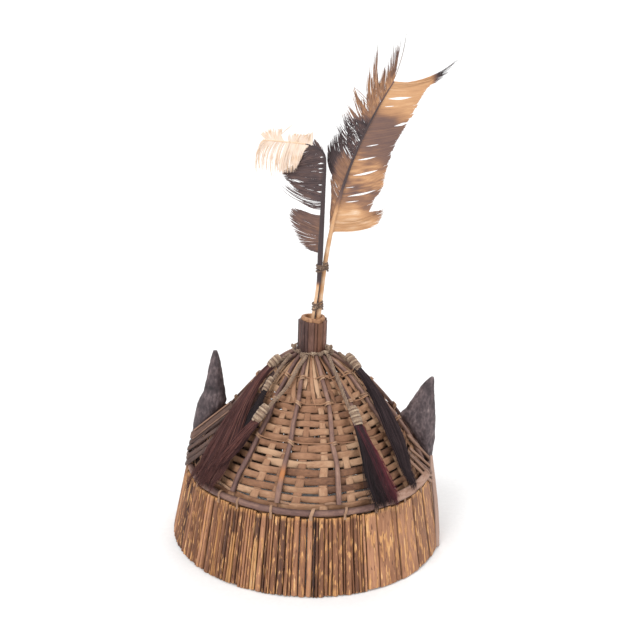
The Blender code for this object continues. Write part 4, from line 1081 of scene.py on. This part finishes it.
# Short openings beside the shaft, and one long one near the vane's edge
DARK_SLITS = [(level * MM, 0.04, 0.20, 0.0007)
              for level in (331.5, 326.6, 322.4, 319.4, 316.0, 309.2, 303.2)]
DARK_SLITS.append((311.5 * MM, 0.52, 0.95, 0.0014))
dark = Bundle()
for roots, tips, count, bow, width, shades, shrink in DARK_TUFTS:
    tuft(dark, dark_line, roots, tips, count, bow, width, shades, shrink,
         DARK_SLITS if shades is dark_shades else ())
radius = DARK_QUILL_RADIUS * np.interp(np.where(dark_x > OVERHANG_FROM, dark_z / MM, 400.0),
                                       *DARK_SHAFT_AND_SHADOW_WIDTHS)
shade = np.where(dark_x < CREAM_FROM, 0.86, np.interp(dark_z / MM, (224, 229), (0.80, 0.04)))
dark.strip(dark_line[::4], TOWARDS_FRONT, 2 * radius[::4], 2 * radius[::4], 0.5, shape=ROUND_CANE,
           patch=shade[::4])
stripe = dark_line[dark_z < STRIPE_TOP][::6]
dark.strip(stripe + (0.0012, -0.0014, 0.0), TOWARDS_FRONT, 0.0011, 0.0006, 0.5, shape=ROUND_CANE,
           patch=0.04)
dark.piece("dark_feather_vanes", feather_vane, "dark_feather", "feather_dark")

# Feather ties
# Bast twine wound four times round both quills just above the tube and again below the vanes,
# with a small knot in front.
TIE_LEVELS = (0.0090, 0.0425)
TIE_HALF_HEIGHT = 0.0032
quill_twine = Bundle()
turn = np.linspace(0.0, 4.0 * 2 * math.pi, 120)
way = polar(1.0, np.degrees(turn), 0.0)
for level in TIE_LEVELS:
    centre_banded = banded_shaft(level / BANDED_RISE)
    centre_dark = dark_line[np.argmin(np.abs(dark_z[:500] - TUBE_MOUTH - level))]
    middle = (centre_banded + centre_dark) / 2
    out = np.maximum(way @ centre_banded + QUILL_RADIUS, way @ centre_dark + DARK_QUILL_RADIUS)
    line = middle + way * (out + 0.0005 - way @ middle)[:, None]
    line[:, 2] = (TUBE_MOUTH + level + np.linspace(-TIE_HALF_HEIGHT, TIE_HALF_HEIGHT, 120)
                  + 0.0008 * np.sin(turn * 1.3))
    twist(quill_twine, line, (0.0, 0.0, 1.0), 0.0016, 0.0040, 0.34)
    knot(quill_twine, middle + (-0.0012, -0.0048, 0.0), 0.0030, 0.0013, 0.42)
quill_twine.piece("quill_twine", bast_twine, "twine", "feather_tie_lower", "feather_tie_upper")

# Side horns
# Dark horns flattened from front to back, dull and scaly with age, set on the hoop with the
# inner edge against the crown.
HORN_WIDTH = 0.0360
HORN_DEPTH = 0.0190
HORN_REACH = 0.10726
HORN_FOOT = 0.0058
SCALE_HEIGHT = 0.0005
RIDGE_HEIGHT = 0.00035
# Each horn's azimuth, rise and clearance off the crown, and its rows: share of the rise, inset
# of its outer and of its inner edge as shares of HORN_WIDTH, and share of HORN_DEPTH
HORNS = {
    "left": (180.0, 0.0932, 0.0054, (
        (0.00, 0.00, 0.10, 0.70), (0.10, 0.06, 0.25, 0.85), (0.28, 0.12, 0.55, 1.00),
        (0.44, 0.19, 0.80, 1.00), (0.50, 0.25, 0.96, 1.00), (0.61, 0.38, 0.91, 0.92),
        (0.75, 0.46, 0.85, 0.78), (0.88, 0.51, 0.80, 0.58), (0.95, 0.56, 0.76, 0.42),
        (1.00, 0.61, 0.71, 0.20))),
    "right": (0.0, 0.0761, 0.0024, (
        (0.00, -0.06, 0.24, 0.70), (0.24, -0.12, 0.55, 0.90), (0.45, -0.11, 0.82, 1.00),
        (0.53, -0.10, 0.86, 1.00), (0.60, -0.08, 0.67, 0.94), (0.76, -0.04, 0.47, 0.78),
        (0.86, -0.01, 0.35, 0.60), (0.94, 0.00, 0.24, 0.42), (1.00, 0.02, 0.10, 0.20))),
}


def horn_skin(side, share, turn):
    """Points on a horn's skin; share runs from hoop to tip, and turn 0 is the outer edge."""
    azimuth, rise, off_crown_by, rows = HORNS[side]
    share, turn = np.broadcast_arrays(np.asarray(share, float), np.radians(turn))
    places, outer_inset, inner_inset, depth = np.array(rows).T
    height = HORN_FOOT + share * rise
    foot = height
    for _ in range(4):
        foot = height - off_crown_by * crown_facing(foot)[1]
    flank = np.abs(on_crown(azimuth, foot, off_crown_by)[..., 0])
    outer = HORN_REACH - np.interp(share, places, outer_inset) * HORN_WIDTH
    inner = HORN_REACH - np.interp(share, places, inner_inset) * HORN_WIDTH
    inner = np.minimum(np.maximum(inner, flank), outer - 0.04 * HORN_WIDTH)
    across = inner + (outer - inner) * (1.0 + np.cos(turn)) / 2
    facing = 1.0 if azimuth == 0.0 else -1.0
    return np.stack([facing * across,
                     smooth_curve(places, depth)(share) * HORN_DEPTH / 2 * np.sin(turn),
                     BRIM_TOP + height], -1)


old_horn = block_finish(
    "old horn", (0.0022, 6.0, (1.0, 1.0, 0.5)), (0.6, 0.6), 0.011,
    ((0.40, (44, 37, 39)), (0.56, (74, 63, 65)), (0.70, (104, 90, 91)), (0.84, (142, 127, 124))),
    rough=(0.5, 0.8), depth=0.0012, relief=0.8, gloss=0.3)

for side in HORNS:
    share = np.linspace(0.0, 1.0, 56)
    skin = horn_skin(side, share[:, None], np.arange(0.0, 360.0, 9.0)[None, :])
    for _ in range(3):
        skin = eased(skin, 1)
        skin = (np.roll(skin, 1, axis=1) + 2 * skin + np.roll(skin, -1, axis=1)) / 4
    facing = unit(skin - skin.mean(axis=1, keepdims=True))
    rough = np.array([[noise.fractal(Vector(point) * 130.0, 0.8, 2.0, 4) for point in ring]
                      for ring in skin])
    ridge = np.array([[noise.noise(Vector(point * (260.0, 260.0, 28.0))) for point in ring]
                      for ring in skin])
    room = np.interp(share, (0.0, 0.06, 0.90, 1.0), (0.0, 1.0, 1.0, 0.15))[:, None, None]
    skin = skin + facing * room * (SCALE_HEIGHT * rough + RIDGE_HEIGHT * ridge - 0.0001)[..., None]
    horn_piece = Bundle()
    horn_piece.skin(skin[:, ::-1] if side == "left" else skin)
    horn_piece.piece(f"side_horn_{side}", old_horn, "horn", f"horn_{side}")

# Horn lashings
# Split canes that come down from the crown's flank, pass round the horn's base or over the
# hoop, and go up again behind. The left ones are flat and dark, the right ones round and paler.
# Each row: heights above the brim's top at the outer edge and at the front end, degrees from
# the horn to that end, width and tone
LASHINGS = {
    "left": ((0.0183, 0.0510, 8.0, 0.0056, 0.46), (0.0112, 0.0500, 17.0, 0.0034, 0.24),
             (0.0055, 0.0425, 22.0, 0.0036, 0.34), (-0.0020, 0.0375, 26.0, 0.0044, 0.40),
             (-0.0080, 0.0310, 27.0, 0.0040, 0.28)),
    "right": ((0.0038, 0.0345, 16.0, 0.0034, 0.82), (-0.0023, 0.0275, 23.0, 0.0027, 1.02),
              (-0.0078, 0.0285, 28.5, 0.0034, 0.60), (-0.0118, 0.0245, 26.0, 0.0028, 0.76),
              (-0.0172, 0.0250, 31.0, 0.0032, 0.98)),
}
LASHING_THICKNESS = {"left": 0.0013, "right": 0.0025}
LASHING_LIFT = 0.0015
LASHING_END_LIFT = 0.0042
PALER_SPLITS = 2
# The lashing cane gets painted shade in the creases along its edges and on its inner faces.
lashing_cane = strip_finish(
    "lashing cane", (2.0, 220.0, 5.0), (0.6, 0.5, 0.2), 0.008,
    ((0.30, (44, 33, 32)), (0.50, (72, 54, 49)), (0.68, (108, 82, 71)), (0.86, (150, 116, 96))),
    rough=(0.5, 0.75), depth=0.0006, relief=0.8, gloss=0.35, painted_shade=(34, 25, 24), inside=0.4)
ROUNDED_STRIP = outline((1, 0), (0.8, 0.7), (0.35, 1), (-0.35, 1), (-0.8, 0.7), (-1, 0),
                        (-0.8, -0.6), (0, -0.8), (0.8, -0.6))


def inside_hat(side, points):
    """Which points lie within the horn, the hoop, the brim or the ribbed crown."""
    x, y, z = points.T
    share = np.clip((z - BRIM_TOP - HORN_FOOT) / HORNS[side][1], 0.0, 0.98)
    outer, inner = horn_skin(side, share, 0.0)[:, 0], horn_skin(side, share, 180.0)[:, 0]
    wide = np.abs(outer - inner) / 2 + LASHING_LIFT
    deep = np.abs(horn_skin(side, share, 90.0)[:, 1]) + LASHING_LIFT
    in_horn = np.hypot((x - (outer + inner) / 2) / wide, y / deep) < 1.0
    in_horn = in_horn & (z > BRIM_TOP + HORN_FOOT - LASHING_LIFT)
    reach = np.hypot(x, y)
    in_hoop = np.hypot(reach - HOOP_REACH, z - HOOP_LEVEL) < HOOP_RADIUS + LASHING_LIFT
    in_brim = (z < BRIM_TOP) & (reach < brim_reach(z) + LASHING_LIFT)
    over_ribs = crown_radius(z - BRIM_TOP) + RIB_THICKNESS + 0.0010
    return in_horn | in_hoop | in_brim | ((z >= BRIM_TOP) & (reach < over_ribs))


def pulled_taut(side, corner, end, way):
    """A line from corner to end, lifted along a way just far enough to clear the hat."""
    t = np.linspace(0.0, 1.0, 44) ** 1.4
    line = corner + (end - corner) * t[:, None]
    lift = np.zeros(len(t))
    for _ in range(70):
        lift = lift + 0.0004 * inside_hat(side, line + lift[:, None] * way)
    for _ in range(300):
        lift[1:-1] = np.maximum(lift[1:-1], (lift[:-2] + lift[2:]) / 2)
    return line + lift[:, None] * way


for side, rows in LASHINGS.items():
    lashings = Bundle()
    azimuth, horn_rise = HORNS[side][:2]
    facing_side = 1.0 if side == "right" else -1.0
    thickness = LASHING_THICKNESS[side]
    for number, (outer_height, end_height, swing, width, usual_tone) in enumerate(rows):
        if outer_height > HORN_FOOT:
            outer = abs(float(horn_skin(side, (outer_height - HORN_FOOT) / horn_rise, 0.0)[0]))
        elif outer_height > -0.001:
            outer = HOOP_REACH + HOOP_RADIUS
        else:
            outer = brim_reach(BRIM_TOP + outer_height)
        outer = outer + thickness / 2
        corner = np.array((facing_side * outer, 0.0, BRIM_TOP + outer_height))
        front_end = on_crown(azimuth - facing_side * swing, end_height, LASHING_END_LIFT)
        back_end = on_crown(azimuth + facing_side * (swing + 10.0), end_height * 0.7,
                            LASHING_END_LIFT)
        front = pulled_taut(side, corner, front_end, np.array((-0.12 * facing_side, -0.91, 0.39)))
        back = pulled_taut(side, corner, back_end, np.array((0.0, 1.0, 0.0)))
        line = eased(np.concatenate([front[::-1], back[1:]]), 10)
        # The strip faces straight off the horn's outer edge, then forward or back
        off_edge = np.clip(np.abs(line[:, 1]) / 0.0080, 0.0, 1.0)[:, None]
        ahead = np.sign(line[:, 1:2]) * (0.0, 0.92, 0.0) + (0.0, 0.0, 0.39)
        flat = unit((1.0 - off_edge) * (facing_side, 0.0, 0.0)
                    + off_edge * (ahead + (0.35 * facing_side, 0.0, 0.2)))
        wide = width * uneven(np.linspace(0.0, 1.0, len(line)), 9, 0.84, 1.08)
        wide[[0, -1]] *= 0.5
        tone = usual_tone + chance.normal(0.0, 0.03)
        lashings.strip(line, flat, wide, thickness, tone, shape=ROUNDED_STRIP)
        if side == "left" and number < PALER_SPLITS:
            # A thinner, paler split of the same cane lies along the upper edge
            upper = line[2:36] + flat[2:36] * 0.0006 + np.array((0.0, 0.0, width * 0.52))
            lashings.strip(upper, flat[2:36], 0.0014, 0.0011, 0.92 - 0.2 * number,
                           shape=ROUND_CANE)
    lashings.piece(f"horn_lashings_{side}", lashing_cane, "cane_strip",
                   *(f"horn_lashing_{side}_{number}" for number in range(5)))

# Hair tassels
# Bundles of dyed hair, each wound with bast twine onto a twisted thong that comes down from
# the neck. Red ones on the left, a black one under them, a dark red one right of the front
# and a long black one along the right side.
TASSELS = (
    ("tassel_1", "red", ((-153, 0.970), (-153.5, 0.860), (-153, 0.750), (-151.3, 0.650),
                         (-148.2, 0.520), (-145.2, 0.390), (-143, 0.260), (-141.3, 0.140),
                         (-139.8, 0.030)),
     0.06, 0.15, 1.68, 0, 840),
    ("tassel_2", "black", ((-144, 0.970), (-140.5, 0.860), (-138.5, 0.790), (-136.5, 0.670),
                           (-135, 0.540), (-134, 0.430)),
     0.34, 0.50, 0.49, 0, 300),
    ("tassel_3", "red", ((-104, 0.985), (-112.0, 0.920), (-115.5, 0.835), (-118.5, 0.755),
                         (-122.0, 0.690), (-124.8, 0.600), (-127.0, 0.520), (-129.4, 0.450),
                         (-132, 0.350), (-135.2, 0.250), (-137, 0.170)),
     0.47, 0.60, 0.52, 1, 380),
    ("tassel_4", "burgundy", ((-46, 0.985), (-54.8, 0.920), (-58.4, 0.820), (-59.6, 0.740),
                              (-59.0, 0.610), (-59.0, 0.530), (-57.8, 0.380), (-56.4, 0.220),
                              (-55.6, 0.090), (-55.4, 0.025)),
     0.40, 0.52, 1.26, 0, 700),
    ("tassel_5", "black", ((-2, 0.965), (-18.0, 0.890), (-23.5, 0.800), (-27.5, 0.700),
                           (-31.0, 0.560), (-33.0, 0.445), (-34.8, 0.315), (-36.8, 0.190),
                           (-37.6, 0.080)),
     0.06, 0.18, 0.98, 0, 600),
)
HAIR_WIDTH = 0.0200
HAIR_STRAND = outline((1, 0), (0, 1), (-1, 0), (0, -1))
HAIR_LIFT = 0.0054
HAIR_THICKNESS = 0.0060
THONG_THICKNESS = 0.0031
THONG_PITCH = 0.0082
WINDING_PITCH = 0.00135
STRAY_ODDS = 0.06
HAIRS = {"red": ((0.30, (36, 21, 22)), (0.55, (68, 40, 39)), (0.80, (104, 64, 58)),
                 (0.97, (136, 94, 80))),
         "black": ((0.30, (24, 16, 19)), (0.60, (42, 30, 33)), (0.85, (74, 56, 58)),
                   (0.98, (112, 92, 90))),
         "burgundy": ((0.25, (26, 16, 19)), (0.50, (48, 28, 32)), (0.72, (82, 32, 40)),
                      (0.95, (118, 54, 60)))}
hair_finishes = {}
for kind, stops in HAIRS.items():
    hair = Finish(f"{kind} hair")
    fibre = hair.fibres(0.6, 160.0)
    mix = hair.mixture((hair.mark("tone"), 0.75), (fibre, 0.35))
    hair_finishes[kind] = hair.done(hair.ramp(mix, *stops), (0.55, 0.8), fibre, 0.0001,
                                    relief=0.3, gloss=0.22)

bindings = Bundle()
for name, kind, path, stem_end, wrap_end, width, layer, strands in TASSELS:
    azimuths, heights = np.array(path, float).T * ((1.0,), (CROWN_RISE,))
    gone = length_along(on_crown(azimuths, heights))
    azimuth_along = smooth_curve(gone / gone[-1], azimuths)
    height_along = smooth_curve(gone / gone[-1], heights)

    def on_route(share):
        return azimuth_along(share), height_along(share)

    def tassel_line(share, lift, aside=0.0):
        """Points lifted off the crown and set aside from the tassel's middle line, and the
        directions off the crown there."""
        near = np.clip(share, 0.0, 1.0)
        facing = off_crown(*on_route(near))
        heading = unit(on_crown(*on_route(near + 0.01)) - on_crown(*on_route(near - 0.01)))
        across = unit(np.cross(heading, facing))
        beyond = (share - near) * gone[-1]
        raised = layer * 0.0040 * np.clip((share - 0.25) * 5.0, 0.0, 1.0)
        return (on_crown(*on_route(near), lift + raised) + across * np.asarray(aside)[..., None]
                + heading * beyond[..., None]), facing

    thick = HAIR_THICKNESS * (0.62 if width < 0.5 and not layer else 1.0)
    wrap_radius = min(0.0038, 0.62 * thick)
    line, facing = tassel_line(np.linspace(0.0, stem_end + 0.02, 24), 0.0050)
    twist(bindings, line, facing, THONG_THICKNESS, THONG_PITCH, 0.48, plies=3)
    # The binding: one strand wound closely round the head of the bundle
    wind_turns = (wrap_end - stem_end) * gone[-1] / WINDING_PITCH
    turn = np.linspace(0.0, 1.0, int(wind_turns * 14))
    share = stem_end + (wrap_end - stem_end) * turn
    barrel = wrap_radius * np.interp(turn, (0.0, 0.18, 0.8, 1.0), (0.66, 1.0, 0.98, 0.80))
    barrel = barrel * (1.0 + 0.05 * np.sin(turn * wind_turns * 2.4) + 0.04 * np.sin(turn * 31.0))
    circle = turn * wind_turns * 2 * math.pi
    line, facing = tassel_line(share, HAIR_LIFT + wrap_radius + 0.92 * barrel * np.sin(circle),
                               barrel * np.cos(circle))
    heart, _ = tassel_line(share, HAIR_LIFT + wrap_radius)
    bindings.strip(line, unit(line - heart), 0.00150, 0.00100, 0.60 + 0.3 * np.sin(circle * 0.37),
                   shape=ROUND_CANE)
    bindings.strip(heart[::8], facing[::8], wrap_radius * 1.7, wrap_radius * 1.7, 0.5,
                   shape=ROUND_CANE)
    # The hair: strands gathered in locks that part towards their ends
    locks = 7 if width < 0.5 else 12
    gathered = 0.75 if name == "tassel_5" else 0.0
    lock_place = np.linspace(-0.92, 0.92, locks) + chance.normal(0.0, 0.06, locks)
    lock_end = chance.normal(0.0, 0.028, locks)
    lock_bend = chance.normal(0.0, 0.0012, locks)
    hair_bundle = Bundle()
    foot = width * HAIR_WIDTH / 2 * 0.94
    for strand in range(strands):
        lock = chance.integers(locks)
        stray = chance.random() < STRAY_ODDS
        end = 0.985 + lock_end[lock] + chance.normal(0.0, 0.014) - 0.22 * chance.random() ** 6
        share = wrap_end - 0.03 + (end - wrap_end + 0.03) * np.linspace(0.0, 1.0, 17)
        gone_down = np.clip((share - wrap_end) / (1.0 - wrap_end), 0.0, 1.1)
        spread = np.interp(gone_down, (0.0, 0.15, 0.35, 0.55, 0.78, 1.0, 1.1),
                           (0.0, 0.16, 0.45, 0.75, 0.95, 1.0, 1.02))
        spread = spread * (1.0 - gathered * np.clip((gone_down - 0.58) / 0.34, 0.0, 1.0))
        head_aside = chance.uniform(-1.0, 1.0)
        foot_aside = lock_place[lock] + chance.normal(0.0, 4.5 if stray else 1.0) / locks
        aside = (head_aside * wrap_radius * 0.8 * (1.0 - spread) + foot_aside * foot * spread
                 + lock_bend[lock] * np.sin(gone_down * 3.0)
                 + 0.0004 * np.sin(gone_down * chance.uniform(4, 11) + chance.uniform(0, 6)))
        depth = chance.uniform(-1.0, 1.0) * math.sqrt(max(0.1, 1.0 - 0.6 * foot_aside ** 2))
        full = np.interp(gone_down, (0.0, 0.15, 0.35, 0.55, 0.78, 1.1),
                         (0.60, 0.80, 1.0, 1.0, 0.9, 0.62))
        middle = HAIR_LIFT + thick / 2 - 0.0012 * gone_down
        lift = np.maximum(middle + depth * full * thick / 2, 0.0016)
        # Over the hoop the strands ride up and outward
        lift = lift + 0.0050 * np.clip((0.016 - height_along(np.clip(share, 0.0, 1.0))) / 0.012,
                                       0.0, 1.0)
        line, facing = tassel_line(share, lift, aside)
        taper = np.interp(gone_down, (0.0, 0.7, 1.1), (1.0, 0.8, 0.2))
        # Painted light and shade: strands on the outside of a bundle are lighter and those
        # underneath darker, and tassel 2 is painted darker all over as shade.
        tone = chance.normal(0.52, 0.16) + 0.10 * depth - (0.26 if name == "tassel_2" else 0.0)
        if kind == "burgundy":
            tone = 0.36 + 0.42 * np.clip(-foot_aside, -0.6, 1.0) + (
                chance.normal(0.0, 0.10)) + 0.05 * depth
        hair_bundle.strip(line, facing, chance.uniform(0.00036, 0.00058) * taper,
                          chance.uniform(0.0003, 0.00048) * taper, np.clip(tone, 0.0, 1.0),
                          shape=HAIR_STRAND)
    hair_bundle.piece(f"{name}_strands", hair_finishes[kind], f"{kind}_hair", f"{name}_hair")
bindings.piece("tassel_bindings", bast_twine, "twine",
               *(f"{entry[0]}_{part}" for entry in TASSELS for part in ("stem", "wrap")))

# Studio
# A plain pale floor that runs up behind, two soft lamps in front and one behind, and a pale
# surround.
floor_mesh = bpy.data.meshes.new("floor")
sweep = [(-3.0, 0.0), (0.9, 0.0)]
sweep += [(0.9 + 0.6 * math.sin(a), 0.6 - 0.6 * math.cos(a)) for a in np.linspace(0.1, 1.47, 12)]
sweep += [(1.5, 2.5)]
floor_points = [(x, y, z) for y, z in sweep for x in (-3.0, 3.0)]
floor_mesh.from_pydata(floor_points, [], [(2 * i, 2 * i + 1, 2 * i + 3, 2 * i + 2)
                                          for i in range(len(sweep) - 1)])
floor_mesh.shade_smooth()
floor = put_in_scene("floor", floor_mesh)
paper = Finish("white paper")
paper_grain = paper.patches(0.004)
floor_mesh.materials.append(paper.done(paper.ramp(paper_grain, (0.3, (238, 238, 238)),
                                                  (0.7, (242, 242, 242))),
                                       (0.85, 0.95), paper_grain, 0.0001, relief=0.1, gloss=0.1))

LAMP_AIM = np.array((0.0, 0.0, 0.15))
for name, place, size, power in (("key lamp", (-0.9, -1.2, 1.5), 1.0, 26.0),
                                 ("fill lamp", (1.3, -1.0, 0.9), 1.2, 9.0),
                                 ("back lamp", (0.3, 1.0, 1.6), 0.9, 8.0)):
    lamp_data = bpy.data.lights.new(name, "AREA")
    lamp_data.size = size
    lamp_data.energy = power
    lamp = put_in_scene(name, lamp_data)
    lamp.location = place
    way = LAMP_AIM - place
    lamp.rotation_euler = (math.atan2(math.hypot(way[0], way[1]), -way[2]), 0.0,
                           math.atan2(-way[0], way[1]))
world = bpy.data.worlds.new("surround")
world.use_nodes = True
world.node_tree.nodes["Background"].inputs["Color"].default_value = (1.0, 1.0, 1.0, 1.0)
world.node_tree.nodes["Background"].inputs["Strength"].default_value = 0.75
bpy.context.scene.world = world
bpy.context.scene.view_settings.view_transform = "Standard"

# Camera
# A little above the hat's middle, looking down, and rolled slightly as the hat leans.
# The lens and the place were fitted to the brim's circles and the tube's mouth in the picture.
CAMERA_PITCH = -15.81
CAMERA_ROLL = 2.01
camera_data = bpy.data.cameras.new("camera")
camera_data.sensor_width = 36.0
camera_data.lens = 50.625
camera = put_in_scene("camera", camera_data)
camera.location = (0.0059, -0.739, 0.403)
camera.rotation_mode = "XYZ"
camera.rotation_euler = (math.radians(90.0 + CAMERA_PITCH), 0.0, 0.0)
camera.rotation_euler.rotate_axis("Z", math.radians(CAMERA_ROLL))
bpy.context.scene.camera = camera
